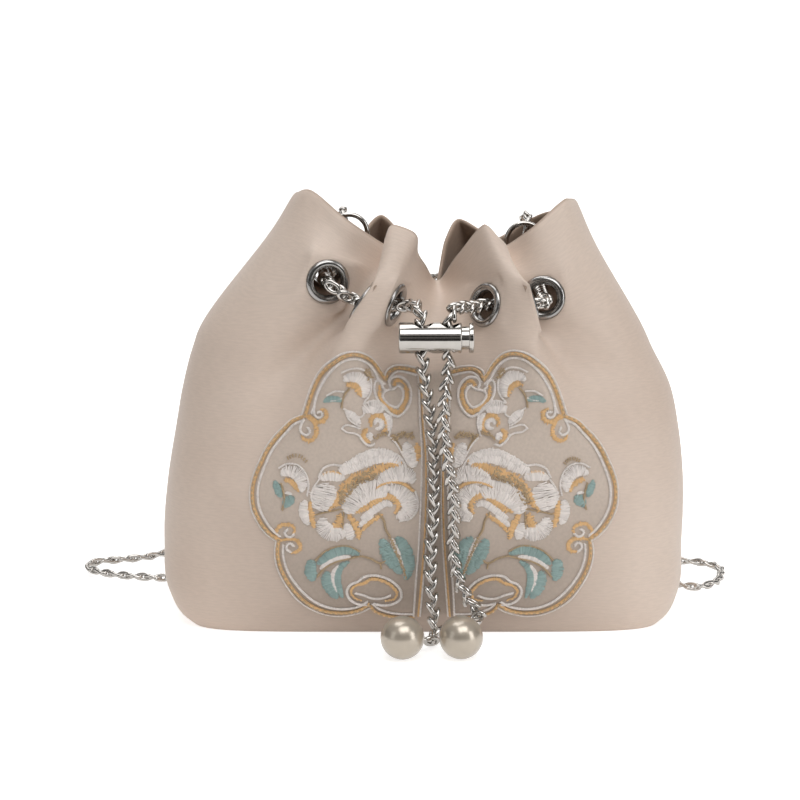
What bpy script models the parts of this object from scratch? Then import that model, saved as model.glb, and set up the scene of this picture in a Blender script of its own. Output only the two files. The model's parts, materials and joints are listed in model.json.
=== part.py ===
"""Small drawstring bucket bag that stands with its neck drawn in, its strap on the floor behind it.

Metres, +Z up, the front towards -Y. The origin is the middle of the base, on the floor.
"""

import math

import bmesh
import bpy
import numpy as np
from mathutils import Matrix, Vector

MM = 0.001
FULL_TURN = 2 * math.pi
COLLECTION_NAME = "reticule"
CUTTER_COLLECTION_NAME = "reticule_cutters"

# Gap that touching pieces keep
GAP = 0.3 * MM

# Cloth body
BODY_HALF_WIDTH = 105.5 * MM
BODY_HALF_DEPTH = 58.0 * MM
BODY_HEIGHT = 171.0 * MM
BODY_WALL = 1.8 * MM
BODY_COLUMN_PITCH = 6.4 * MM
NECK_CLOTH = 27.0 * MM
RIM_ROWS = 4
NECK_BAND_HALF_WIDTH = 72.0 * MM
NECK_BAND_HALF_DEPTH = 46.0 * MM
NECK_BAND_SHIFT = 2.0 * MM
NECK_SQUARENESS = 2.5
FOLD_LIFT_SHARE = 0.4
SECTION_SAMPLES = 1441

# Each row is a section round the body below the eyelets. Height, cloth, width, depth and shift
# are shares of the body's height, height, half width, half depth and half width. Cloth is the way
# up along the wall, and fold is how much of the neck's folds shows.
# height, cloth, width, depth, shift, squareness, fold
SECTIONS = (
    (0.000, 0.000, 0.895, 0.800, 0.008, 6.5, 0.00),
    (0.020, 0.030, 0.936, 0.855, 0.006, 5.6, 0.00),
    (0.075, 0.090, 0.984, 0.935, 0.002, 4.4, 0.00),
    (0.180, 0.200, 1.000, 0.985, 0.000, 3.4, 0.00),
    (0.330, 0.350, 0.992, 1.000, 0.010, 3.2, 0.00),
    (0.450, 0.470, 0.966, 0.985, 0.016, 3.0, 0.04),
    (0.545, 0.570, 0.935, 0.945, 0.012, 2.9, 0.22),
    (0.625, 0.660, 0.884, 0.890, -0.005, 2.7, 0.50),
    (0.695, 0.740, 0.832, 0.845, -0.008, 2.6, 0.80),
)
NECK_CLOTH_START = 0.825

# Each row is a fold or an eyelet round the neck, from the front's middle towards +X. The first
# three places are at the eyelets' height and the others at the rim, as shares of the body's half
# width, half depth and height.
# kind, x, y, z, rim x, rim y, rim z
FOLDS = (
    ("middle", 0.033, -0.517, 0.713, 0.043, -0.224, 0.794),
    ("eyelet", 0.224, -0.724, 0.758, 0.133, -0.457, 0.863),
    ("flank", 0.303, -0.897, 0.763, 0.223, -0.681, 0.934),
    ("ridge", 0.384, -0.983, 0.766, 0.280, -0.621, 0.906),
    ("eyelet", 0.382, -0.793, 0.760, 0.308, -0.474, 0.886),
    ("valley", 0.341, -0.543, 0.766, 0.313, -0.345, 0.877),
    ("eyelet", 0.443, -0.569, 0.768, 0.408, -0.448, 0.921),
    ("flank", 0.578, -0.578, 0.795, 0.517, -0.328, 0.974),
    ("flank", 0.673, -0.345, 0.822, 0.567, -0.155, 0.979),
    ("side", 0.695, 0.034, 0.836, 0.592, 0.052, 0.964),
    ("flank", 0.659, 0.362, 0.825, 0.550, 0.241, 0.944),
    ("flank", 0.569, 0.569, 0.801, 0.474, 0.379, 0.930),
    ("eyelet", 0.441, 0.603, 0.778, 0.389, 0.448, 0.901),
    ("valley", 0.346, 0.500, 0.766, 0.294, 0.345, 0.871),
    ("eyelet", 0.318, 0.759, 0.760, 0.242, 0.534, 0.883),
    ("ridge", 0.227, 0.948, 0.766, 0.144, 0.629, 0.909),
    ("eyelet", 0.147, 0.759, 0.757, 0.091, 0.491, 0.865),
    ("middle", 0.028, 0.500, 0.713, 0.038, 0.241, 0.757),
    ("eyelet", -0.100, 0.759, 0.757, -0.057, 0.483, 0.854),
    ("ridge", -0.190, 0.948, 0.766, -0.156, 0.629, 0.918),
    ("eyelet", -0.265, 0.759, 0.763, -0.223, 0.552, 0.892),
    ("valley", -0.289, 0.500, 0.772, -0.232, 0.362, 0.865),
    ("eyelet", -0.384, 0.621, 0.789, -0.322, 0.431, 0.909),
    ("flank", -0.512, 0.603, 0.813, -0.398, 0.310, 0.947),
    ("flank", -0.607, 0.379, 0.836, -0.460, 0.181, 0.971),
    ("side", -0.645, 0.034, 0.854, -0.498, 0.034, 0.982),
    ("flank", -0.626, -0.345, 0.836, -0.482, -0.155, 0.995),
    ("flank", -0.512, -0.612, 0.822, -0.417, -0.345, 1.000),
    ("eyelet", -0.354, -0.655, 0.808, -0.294, -0.517, 0.944),
    ("valley", -0.209, -0.509, 0.772, -0.118, -0.379, 0.868),
    ("eyelet", -0.222, -0.784, 0.766, -0.133, -0.560, 0.906),
    ("ridge", -0.229, -0.991, 0.772, -0.114, -0.724, 0.936),
    ("flank", -0.161, -1.000, 0.772, -0.042, -0.716, 0.920),
    ("eyelet", -0.106, -0.776, 0.760, -0.021, -0.517, 0.864),
    ("flank", -0.057, -0.586, 0.746, 0.009, -0.379, 0.830),
)

# Eyelets
EYELET_RADIUS = 8.75 * MM
EYELET_THROAT_RADIUS = 5.6 * MM
EYELET_BARREL_WALL = 1.0 * MM
EYELET_FLANGE = 1.1 * MM
EYELET_WASHER_RADIUS = 7.8 * MM
EYELET_WASHER = 0.7 * MM
EYELET_SIDES = 12
EYELET_FLANGE_CHAMFER = 0.6 * MM
EYELET_FLANGE_LIP = 0.3 * MM
EYELET_FLAT_MARGIN = 0.6 * MM
EYELET_FLAT = EYELET_RADIUS + EYELET_FLAT_MARGIN
EYELET_FLAT_BLEND = 4.0 * MM
EYELET_TILT_REACH = 5.5 * MM

# Drawstring and cord lock
STRING_RADIUS = 3.0 * MM
STRING_PITCH = 9.3 * MM
LOCK_LEFT = -9.8 * MM
LOCK_BARREL_LENGTH = 24.0 * MM
LOCK_RADIUS = 5.9 * MM
LOCK_WALL = 1.2 * MM
LOCK_Y = -60.0 * MM
LOCK_Z = 119.3 * MM
LOCK_HOLE_PLACES = (-0.5 * MM, 9.9 * MM)
LOCK_STRING_PLACES = (-0.9 * MM, 9.4 * MM)
LOCK_HOLE_RADIUS = 4.1 * MM
LOCK_TRAVEL = 1.5 * MM
LOCK_SPRING_ROOM = 3.0 * MM
PLUNGER_NECK = 2.7 * MM
PLUNGER_CAP = 1.9 * MM
PLUNGER_CAP_RADIUS = 5.7 * MM
PLUNGER_SLOT_CLEARANCE = 0.3 * MM
LOCK_CHAMFER = 0.5 * MM
TURNED_SIDES = 18
HOLE_SIDES = 12
TUBE_END_SHARE = 0.4

# Pearls at the drawstring's ends
PEARL_RADIUS = 8.3 * MM
PEARL_EYE_RADIUS = 1.7 * MM
PEARL_WIRE = 0.55 * MM
PEARL_RING_RADIUS = 2.3 * MM
PEARL_PEG_RADIUS = 0.8 * MM
PEARL_PEG_DEPTH = 3.0 * MM
PEARL_DRILL_DEPTH = 4.0 * MM
PEARL_FLOOR_GAP = 0.05 * MM
PEARL_SEGMENTS = 16
PEARL_RINGS = 10
SMALL_RING_SIDES = 12
SMALL_WIRE_SIDES = 5
PEARL_PLACES = {
    "left": (-8.4 * MM, -84.2 * MM),
    "right": (13.8 * MM, -83.8 * MM),
}

# Rings and tabs inside the mouth
RING_RADIUS = 7.3 * MM
RING_WIRE = 1.0 * MM
RING_PLACES = {
    "left": (-30.0 * MM, 8.0 * MM, 153.0 * MM),
    "right": (41.5 * MM, 8.0 * MM, 149.5 * MM),
}
RING_SIDES = 20
RING_WIRE_SIDES = 6
TAB_WIDTH = 5.0 * MM
TAB_LAYER = 1.1 * MM
TAB_BEND_STEPS = 8
TAB_WALL_CLEARANCE = {"left": 4.0 * MM, "right": 3.1 * MM}
TAB_Y = 5.0 * MM

# Shoulder strap
STRAP_RADIUS = 2.8 * MM
STRAP_PITCH = 14.5 * MM
END_LINK_RADIUS = 3.6 * MM
END_LINK_WIRE = 0.9 * MM
END_LINK_SIDES = 14

# Routes of the two chains, each from its left end to its right end, in millimetres.
DRAWSTRING_ROUTE = (
    (2.3, -71.9, 4.0),
    (4.4, -67.8, 4.4),
    (4.2, -65.0, 8.6),
    (3.1, -63.8, 16.0),
    (2.5, -62.8, 28.0),
    (2.7, -62.4, 40.0),
    (3.5, -62.3, 51.0),
    (3.6, -62.2, 66.0),
    (3.4, -61.9, 78.0),
    (2.4, -61.5, 88.0),
    (0.9, -61.0, 97.5),
    (-0.5, -60.3, 107.0),
    (-0.9, -60.0, 114.0),
    (-0.9, -60.0, 124.0),
    (-1.9, -57.8, 129.2),
    (-7.5, -47.2, 130.2),
    (-11.2, -45.0, 130.0),
    (-18.0, -44.8, 130.2),
    (-23.6, -45.8, 131.0),
    (-29.6, -46.0, 133.4),
    (-35.2, -43.6, 137.0),
    (-37.3, -38.0, 138.1),
    (-38.6, -30.0, 138.0),
    (-39.0, 0.0, 135.5),
    (-40.6, 29.0, 135.0),
    (-40.3, 36.0, 135.0),
    (-37.0, 42.0, 133.5),
    (-32.5, 44.6, 131.5),
    (-28.0, 44.0, 130.5),
    (-20.5, 42.0, 130.0),
    (-14.0, 41.4, 129.6),
    (-10.5, 44.0, 129.5),
    (-5.5, 48.4, 129.2),
    (3.0, 50.0, 129.0),
    (11.0, 48.4, 129.2),
    (15.5, 44.0, 129.5),
    (19.5, 41.4, 129.6),
    (26.0, 42.0, 130.0),
    (33.5, 44.0, 130.0),
    (38.5, 44.6, 131.0),
    (43.5, 41.5, 132.5),
    (46.5, 35.0, 133.0),
    (46.8, 28.0, 133.0),
    (47.0, 0.0, 132.0),
    (46.7, -26.0, 131.3),
    (46.7, -33.0, 131.3),
    (47.2, -39.0, 131.2),
    (45.6, -44.6, 130.4),
    (40.3, -46.6, 130.0),
    (34.4, -44.6, 130.0),
    (28.6, -39.8, 129.8),
    (23.6, -42.0, 129.6),
    (19.0, -48.0, 129.4),
    (10.8, -58.0, 128.8),
    (9.4, -60.0, 124.0),
    (9.4, -60.0, 114.0),
    (9.2, -61.3, 108.0),
    (8.1, -64.4, 99.5),
    (7.3, -66.2, 89.0),
    (7.9, -66.7, 79.0),
    (9.2, -66.2, 70.0),
    (10.9, -65.0, 60.0),
    (11.4, -63.7, 50.0),
    (11.1, -63.0, 40.0),
    (12.1, -62.8, 30.0),
    (14.4, -62.9, 22.5),
    (17.5, -63.2, 17.0),
    (20.0, -63.9, 13.9),
    (21.2, -65.7, 12.7),
    (20.6, -69.2, 12.3),
)
STRAP_ROUTE = (
    (-32.9, 19.6, 161.2),
    (-33.4, 24.6, 160.0),
    (-34.6, 31.5, 155.6),
    (-37.4, 41.5, 146.5),
    (-39.5, 53.0, 133.0),
    (-41.5, 60.0, 118.0),
    (-44.0, 65.0, 90.0),
    (-49.0, 68.0, 50.0),
    (-56.0, 71.0, 17.0),
    (-63.0, 72.5, 7.2),
    (-74.0, 73.0, 3.6),
    (-88.0, 66.0, 3.4),
    (-101.0, 54.0, 3.4),
    (-105.5, 38.0, 3.4),
    (-108.5, 27.0, 3.4),
    (-118.0, 28.0, 3.4),
    (-129.6, 31.4, 3.4),
    (-139.5, 37.4, 3.4),
    (-145.5, 46.5, 3.4),
    (-142.0, 55.0, 3.4),
    (-132.9, 58.8, 3.4),
    (-121.0, 64.0, 3.4),
    (-112.0, 74.0, 3.4),
    (-96.0, 84.0, 3.4),
    (-72.0, 90.0, 3.4),
    (-40.0, 86.0, 3.4),
    (-5.0, 94.0, 3.4),
    (34.0, 88.0, 3.4),
    (64.0, 92.0, 3.4),
    (90.0, 82.0, 3.4),
    (104.0, 66.0, 3.4),
    (113.5, 57.4, 3.4),
    (122.5, 54.0, 3.4),
    (129.0, 46.0, 3.4),
    (128.6, 32.0, 3.4),
    (124.0, 18.5, 3.4),
    (115.5, 11.0, 3.4),
    (108.6, 16.5, 3.4),
    (106.5, 30.0, 3.4),
    (104.0, 46.0, 3.4),
    (94.0, 60.0, 3.4),
    (77.0, 70.0, 3.6),
    (67.0, 70.5, 7.2),
    (60.0, 70.0, 17.0),
    (54.0, 68.0, 50.0),
    (50.0, 65.5, 90.0),
    (47.0, 60.0, 118.0),
    (44.5, 53.0, 133.0),
    (42.8, 41.5, 146.5),
    (41.6, 31.5, 155.0),
    (42.6, 25.0, 158.8),
    (43.5, 19.2, 158.5),
)

# Colour, roughness and metallic value of each material
MATERIALS = {
    "satin": ((0.68, 0.56, 0.47), 0.55, 0.0),
    "chrome": ((0.78, 0.77, 0.76), 0.16, 1.0),
    "pearl": ((0.86, 0.79, 0.70), 0.22, 0.1),
    "tab_cloth": ((0.62, 0.50, 0.41), 0.7, 0.0),
}


def clear_scene():
    """Remove what the startup file holds."""
    for obj in list(bpy.data.objects):
        bpy.data.objects.remove(obj, do_unlink=True)


def new_collection(name):
    """A collection linked to the scene."""
    collection = bpy.data.collections.new(name)
    bpy.context.scene.collection.children.link(collection)
    return collection


def make_materials():
    """One Principled material for each row of MATERIALS."""
    made = {}
    for name, (colour, roughness, metallic) in MATERIALS.items():
        material = bpy.data.materials.new(name)
        material.use_nodes = True
        shader = material.node_tree.nodes["Principled BSDF"]
        shader.inputs["Base Color"].default_value = (*colour, 1.0)
        shader.inputs["Roughness"].default_value = roughness
        shader.inputs["Metallic"].default_value = metallic
        made[name] = material
    return made


def new_object(name, data, collection, material=None):
    """An object of this data in the collection, with one material."""
    obj = bpy.data.objects.new(name, data)
    collection.objects.link(obj)
    if material is not None:
        data.materials.append(material)
    return obj


def object_from_bmesh(name, bm, collection, material=None, smooth=True):
    """Turn a bmesh into an object."""
    mesh = bpy.data.meshes.new(name)
    bm.to_mesh(mesh)
    bm.free()
    if smooth:
        mesh.shade_smooth()
    return new_object(name, mesh, collection, material)


def hide_cutter(obj):
    """Keep a cutter out of the render."""
    obj.hide_render = True
    obj.display_type = "WIRE"


def add_boolean(obj, cutter, operation="DIFFERENCE"):
    """Cut an object by another, or join it with it."""
    modifier = obj.modifiers.new(cutter.name, "BOOLEAN")
    modifier.operation = operation
    modifier.solver = "EXACT"
    modifier.object = cutter


def frame_matrix(place, normal, side):
    """Matrix at a place with Z along the normal and X as near the side direction as that allows."""
    z_axis = Vector(normal).normalized()
    y_axis = z_axis.cross(Vector(side)).normalized()
    x_axis = y_axis.cross(z_axis)
    rotation = Matrix((x_axis, y_axis, z_axis)).transposed().to_4x4()
    return Matrix.Translation(Vector(place)) @ rotation


def hermite(values, knots, wanted):
    """Values read between knots from a smooth curve through rows, with its slopes from neighbours."""
    values = np.asarray(values, float)
    knots = np.asarray(knots, float)
    steps = np.diff(knots)
    chords = np.diff(values, axis=0) / steps[:, None]
    slopes = np.empty_like(values)
    before, after = steps[:-1, None], steps[1:, None]
    slopes[1:-1] = (after * chords[:-1] + before * chords[1:]) / (before + after)
    slopes[0] = chords[0]
    slopes[-1] = chords[-1]
    wanted = np.clip(np.asarray(wanted, float), knots[0], knots[-1])
    index = np.clip(np.searchsorted(knots, wanted, side="right") - 1, 0, len(steps) - 1)
    width = steps[index][:, None]
    t = ((wanted - knots[index]) / steps[index])[:, None]
    blend_start = 2 * t**3 - 3 * t**2 + 1
    blend_end = 3 * t**2 - 2 * t**3
    rise_start = t**3 - 2 * t**2 + t
    rise_end = t**3 - t**2
    return (
        blend_start * values[index]
        + blend_end * values[index + 1]
        + width * (rise_start * slopes[index] + rise_end * slopes[index + 1])
    )


def closed_hermite(values, knots, wanted):
    """The same for a closed loop whose knots run from 0 and whose parameter comes round at 1."""
    values = np.asarray(values, float)
    knots = np.asarray(knots, float)
    around = 3
    values = np.vstack([values[-around:], values, values[:around]])
    knots = np.concatenate([knots[-around:] - 1, knots, knots[:around] + 1])
    return hermite(values, knots, np.mod(wanted, 1.0))


def section_points(shares, half_width, half_depth, shift, squareness):
    """Points of a rounded section at shares of its length, from the front's middle towards +X."""
    angles = np.linspace(0, FULL_TURN, SECTION_SAMPLES)
    sine, cosine = np.sin(angles), -np.cos(angles)
    x = half_width * np.sign(sine) * np.abs(sine) ** (2 / squareness)
    y = half_depth * np.sign(cosine) * np.abs(cosine) ** (2 / squareness)
    run = np.concatenate([[0], np.cumsum(np.hypot(np.diff(x), np.diff(y)))])
    wanted = np.mod(shares, 1.0) * run[-1]
    return np.stack([np.interp(wanted, run, x) + shift, np.interp(wanted, run, y)], axis=1)


class BodySurface:
    """The outer face of the cloth body, as a place for each share round it and way up the cloth."""

    def __init__(self):
        sizes = np.array([BODY_HALF_WIDTH, BODY_HALF_DEPTH, BODY_HEIGHT])
        self.kinds = [row[0] for row in FOLDS]
        self.neck = np.array([row[1:4] for row in FOLDS]) * sizes
        self.rim = np.array([row[4:7] for row in FOLDS]) * sizes
        self.shares = self.fold_shares()
        self.cloth = [row[1] * BODY_HEIGHT for row in SECTIONS]
        self.neck_cloth = NECK_CLOTH_START * BODY_HEIGHT
        self.rim_cloth = self.neck_cloth + NECK_CLOTH
        self.length = self.neck_length()
        self.patches = []
        self.patches = [self.eyelet_patch(i) for i, kind in enumerate(self.kinds) if kind == "eyelet"]

    def neck_length(self):
        """Length of the neck's folded line."""
        closed = np.vstack([self.neck, self.neck[:1]])
        return np.linalg.norm(np.diff(closed[:, :2], axis=0), axis=1).sum()

    def fold_shares(self):
        """Where each fold is round the cloth. Each quarter of the rows takes a quarter of the cloth."""
        closed = np.vstack([self.neck, self.neck[:1]])
        run = np.linalg.norm(np.diff(closed[:, :2], axis=0), axis=1)
        run = np.concatenate([[0], np.cumsum(run)])
        sides = [i for i, kind in enumerate(self.kinds) if kind == "side"]
        front, back = [i for i, kind in enumerate(self.kinds) if kind == "middle"]
        marks = [front, sides[0], back, sides[1], len(self.kinds)]
        return np.interp(run[:-1], run[marks], [0, 0.25, 0.5, 0.75, 1.0])

    def levels(self, shares):
        """Places on every section, on the neck line and on the rim, and the cloth way of each."""
        neck = closed_hermite(self.neck, self.shares, shares)
        rim = closed_hermite(self.rim, self.shares, shares)
        band = section_points(
            shares, NECK_BAND_HALF_WIDTH, NECK_BAND_HALF_DEPTH, NECK_BAND_SHIFT, NECK_SQUARENESS
        )
        mean_height = self.neck[:, 2].mean()
        found = []
        for height, _, width, depth, shift, squareness, fold in SECTIONS:
            outline = section_points(
                shares,
                width * BODY_HALF_WIDTH,
                depth * BODY_HALF_DEPTH,
                shift * BODY_HALF_WIDTH,
                squareness,
            )
            flat = outline + fold * (neck[:, :2] - band)
            lift = height * BODY_HEIGHT + FOLD_LIFT_SHARE * fold * (neck[:, 2] - mean_height)
            found.append(np.column_stack([flat, lift]))
        return np.stack([*found, neck, rim]), [*self.cloth, self.neck_cloth, self.rim_cloth]

    def smooth_place(self, shares, ways):
        """Places before the cloth is flattened round the eyelets."""
        shares = np.atleast_1d(np.asarray(shares, float))
        ways = np.atleast_1d(np.asarray(ways, float))
        levels, cloth = self.levels(shares)
        count = len(shares)
        flat = levels.reshape(len(cloth), count * 3)
        rows, index = np.unique(ways, return_inverse=True)
        read = hermite(flat, cloth, rows).reshape(len(rows), count, 3)
        return read[index, np.arange(count)]

    def eyelet_patch(self, row):
        """Middle, outward direction and two cloth directions of an eyelet's flat patch."""
        share = self.shares[row]
        reach = EYELET_TILT_REACH
        turn = reach / self.length
        across = self.smooth_place([share - turn, share + turn], [self.neck_cloth] * 2)
        upward = self.smooth_place([share] * 2, [self.neck_cloth - reach, self.neck_cloth + reach])
        middle = Vector(self.smooth_place([share], [self.neck_cloth])[0])
        side = Vector(across[1] - across[0]).normalized()
        normal = side.cross(Vector(upward[1] - upward[0])).normalized()
        return share, middle, normal, side, normal.cross(side)

    def place(self, shares, ways):
        """Places on the finished outer face."""
        shares = np.atleast_1d(np.asarray(shares, float))
        ways = np.atleast_1d(np.asarray(ways, float))
        found = self.smooth_place(shares, ways)
        for share, middle, _, side, upward in self.patches:
            across = (np.mod(shares - share + 0.5, 1.0) - 0.5) * self.length
            up = ways - self.neck_cloth
            distance = np.maximum(np.abs(across), np.abs(up))
            t = np.clip((EYELET_FLAT + EYELET_FLAT_BLEND - distance) / EYELET_FLAT_BLEND, 0, 1)
            weight = (t * t * (3 - 2 * t))[:, None]
            flat = np.array(middle) + across[:, None] * np.array(side) + up[:, None] * np.array(upward)
            found = found * (1 - weight) + flat * weight
        return found

    def columns(self, pitch):
        """Shares of the mesh's columns: each flat patch's middle and edges, and even steps between."""
        flat = EYELET_FLAT / self.length
        middles = [patch[0] for patch in self.patches]
        found = []
        for middle, following in zip(middles, middles[1:] + [middles[0] + 1]):
            start, end = middle + flat, following - flat
            steps = max(1, math.ceil((end - start) * self.length / pitch))
            found.extend([middle, *np.linspace(start, end, steps + 1)])
        return np.array(found)

    def rows(self):
        """Ways of the mesh's rows: every section, the flat patches, and even steps up to the rim."""
        above = np.linspace(self.neck_cloth + EYELET_FLAT, self.rim_cloth, RIM_ROWS)
        return np.array([*self.cloth, self.neck_cloth - EYELET_FLAT, self.neck_cloth, *above])


def make_body(surface, parts, cutters, material):
    """The hollow cloth body with a closed base and a hole for each eyelet."""
    columns = surface.columns(BODY_COLUMN_PITCH)
    rows = surface.rows()
    bm = bmesh.new()
    grid = []
    for way in rows:
        places = surface.place(columns, np.full(len(columns), way))
        grid.append([bm.verts.new(place) for place in places])
    count = len(columns)
    for lower, upper in zip(grid[:-1], grid[1:]):
        for i in range(count):
            following = (i + 1) % count
            bm.faces.new((lower[i], lower[following], upper[following], upper[i]))
    bm.faces.new(list(reversed(grid[0])))
    body = object_from_bmesh("bag_body", bm, parts, material)
    wall = body.modifiers.new("cloth wall", "SOLIDIFY")
    wall.thickness = BODY_WALL
    wall.offset = -1
    wall.use_even_offset = False
    holes = make_hole_cutters(surface, cutters)
    add_boolean(body, holes)
    return body


def make_hole_cutters(surface, cutters):
    """One cutter that holds a short rod through the wall at each eyelet."""
    radius = EYELET_THROAT_RADIUS + EYELET_BARREL_WALL + GAP
    bm = bmesh.new()
    for _, middle, normal, side, _ in surface.patches:
        bmesh.ops.create_cone(
            bm,
            cap_ends=True,
            segments=EYELET_SIDES,
            radius1=radius,
            radius2=radius,
            depth=4 * BODY_WALL,
            matrix=frame_matrix(middle, normal, side),
        )
    holes = object_from_bmesh("eyelet_holes", bm, cutters)
    hide_cutter(holes)
    return holes


def make_turned(name, profile, sides, collection, material, matrix):
    """A profile of radius and height turned round its own Z axis, then placed."""
    bm = bmesh.new()
    points = [bm.verts.new((radius, 0.0, height)) for radius, height in profile]
    for first, second in zip(points, points[1:]):
        bm.edges.new((first, second))
    if profile[0][0] > 0:
        bm.edges.new((points[-1], points[0]))
    turned = object_from_bmesh(name, bm, collection, material)
    screw = turned.modifiers.new("turn", "SCREW")
    screw.axis = "Z"
    screw.steps = sides
    screw.render_steps = sides
    screw.use_merge_vertices = True
    screw.merge_threshold = 0.00001
    screw.use_smooth_shade = True
    turned.matrix_world = matrix
    return turned


def make_eyelets(surface, parts, material):
    """A turned metal eyelet in each hole: flange outside, barrel through the wall, washer inside."""
    barrel = EYELET_THROAT_RADIUS + EYELET_BARREL_WALL
    inside = -BODY_WALL - GAP
    profile = (
        (barrel - EYELET_FLANGE_LIP, GAP + EYELET_FLANGE),
        (EYELET_RADIUS - EYELET_FLANGE_CHAMFER, GAP + EYELET_FLANGE),
        (EYELET_RADIUS, GAP),
        (barrel, GAP),
        (barrel, inside),
        (EYELET_WASHER_RADIUS, inside - 0.5 * EYELET_WASHER),
        (EYELET_THROAT_RADIUS, inside - EYELET_WASHER),
    )
    for number, (_, middle, normal, side, _) in enumerate(surface.patches, start=1):
        matrix = frame_matrix(middle, normal, side)
        make_turned(f"eyelet_{number:02d}", profile, EYELET_SIDES, parts, material, matrix)


def smooth_route(route, pitch):
    """Even points along a smooth curve through a route given in millimetres, closer at its ends."""
    points = np.array(route) * MM
    run = np.concatenate([[0], np.cumsum(np.linalg.norm(np.diff(points, axis=0), axis=1))])
    fine = hermite(points, run, np.linspace(0, run[-1], 20 * len(route)))
    along = np.concatenate([[0], np.cumsum(np.linalg.norm(np.diff(fine, axis=0), axis=1))])
    lead = TUBE_END_SHARE * pitch
    middle = np.linspace(lead, along[-1] - lead, max(2, round(along[-1] / pitch)))
    wanted = np.array([0, *middle, along[-1]])
    return np.stack([np.interp(wanted, along, fine[:, axis]) for axis in range(3)], axis=1)


def make_tube(name, route, pitch, radius, parts, material):
    """A round tube along a route, closed at both ends."""
    points = smooth_route(route, pitch)
    curve = bpy.data.curves.new(name, "CURVE")
    curve.dimensions = "3D"
    curve.bevel_depth = radius
    curve.bevel_resolution = 2
    curve.use_fill_caps = True
    spline = curve.splines.new("POLY")
    spline.points.add(len(points) - 1)
    for target, place in zip(spline.points, points):
        target.co = (*place, 1.0)
        target.radius = 1.0
    return new_object(name, curve, parts, material)


def make_torus(name, major, minor, major_sides, minor_sides, matrix, collection, material=None):
    """A ring round its own Z axis."""
    bpy.ops.mesh.primitive_torus_add(
        major_segments=major_sides, minor_segments=minor_sides, major_radius=major, minor_radius=minor
    )
    ring = bpy.context.object
    for other in list(ring.users_collection):
        other.objects.unlink(ring)
    collection.objects.link(ring)
    ring.name = name
    ring.data.name = name
    ring.data.shade_smooth()
    if material is not None:
        ring.data.materials.append(material)
    ring.matrix_world = matrix
    return ring


def make_rod(name, radius, length, sides, matrix, collection, material=None):
    """A closed cylinder round its own Z axis, centred on it."""
    bm = bmesh.new()
    bmesh.ops.create_cone(
        bm, cap_ends=True, segments=sides, radius1=radius, radius2=radius, depth=length
    )
    rod = object_from_bmesh(name, bm, collection, material)
    rod.matrix_world = matrix
    return rod


def make_lock(parts, cutters, material):
    """The cord lock: a barrel open at its right end, and a spring plunger with a cap."""
    bore = LOCK_RADIUS - LOCK_WALL
    along_x = Matrix.Rotation(math.pi / 2, 4, "Y")
    barrel_place = Matrix.Translation((LOCK_LEFT, LOCK_Y, LOCK_Z)) @ along_x
    length = LOCK_BARREL_LENGTH
    profile = (
        (bore, length),
        (LOCK_RADIUS - LOCK_CHAMFER, length),
        (LOCK_RADIUS, length - LOCK_CHAMFER),
        (LOCK_RADIUS, LOCK_CHAMFER),
        (LOCK_RADIUS - LOCK_CHAMFER, 0.0),
        (0.0, 0.0),
    )
    barrel = make_lock_barrel(profile, bore, barrel_place, parts, material)
    holes = bmesh.new()
    for place in LOCK_HOLE_PLACES:
        bmesh.ops.create_cone(
            holes,
            cap_ends=True,
            segments=HOLE_SIDES,
            radius1=LOCK_HOLE_RADIUS,
            radius2=LOCK_HOLE_RADIUS,
            depth=3 * LOCK_RADIUS,
            matrix=Matrix.Translation((place, LOCK_Y, LOCK_Z)),
        )
    cross_holes = object_from_bmesh("lock_cross_holes", holes, cutters)
    hide_cutter(cross_holes)
    add_boolean(barrel, cross_holes)
    make_plunger(bore - GAP, length, parts, cutters, material)


def make_lock_barrel(profile, bore, place, parts, material):
    """The barrel as a turned shell with a closed left end."""
    inner = (
        (0.0, LOCK_WALL),
        (bore, LOCK_WALL),
    )
    return make_turned("lock_barrel", (*inner, *profile), TURNED_SIDES, parts, material, place)


def make_plunger(radius, barrel_length, parts, cutters, material):
    """The plunger's rod with two long slots for the chain, its neck and its cap."""
    left = LOCK_WALL + LOCK_SPRING_ROOM
    neck_end = barrel_length + PLUNGER_NECK
    profile = (
        (0.0, neck_end + PLUNGER_CAP),
        (PLUNGER_CAP_RADIUS - LOCK_CHAMFER, neck_end + PLUNGER_CAP),
        (PLUNGER_CAP_RADIUS, neck_end + PLUNGER_CAP - LOCK_CHAMFER),
        (PLUNGER_CAP_RADIUS, neck_end),
        (radius, neck_end),
        (radius, left),
        (0.0, left),
    )
    along_x = Matrix.Rotation(math.pi / 2, 4, "Y")
    place = Matrix.Translation((LOCK_LEFT, LOCK_Y, LOCK_Z)) @ along_x
    plunger = make_turned("lock_plunger", profile, TURNED_SIDES, parts, material, place)
    slots = bmesh.new()
    clear = STRING_RADIUS + PLUNGER_SLOT_CLEARANCE
    for string in LOCK_STRING_PLACES:
        start = string - clear
        end = string + clear + LOCK_TRAVEL
        size = Matrix.Diagonal((end - start, 2 * clear, 3 * LOCK_RADIUS, 1.0))
        middle = Matrix.Translation(((start + end) / 2, LOCK_Y, LOCK_Z))
        bmesh.ops.create_cube(slots, size=1.0, matrix=middle @ size)
    slot_cutter = object_from_bmesh("plunger_slots", slots, cutters, smooth=False)
    hide_cutter(slot_cutter)
    add_boolean(plunger, slot_cutter)


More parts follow.
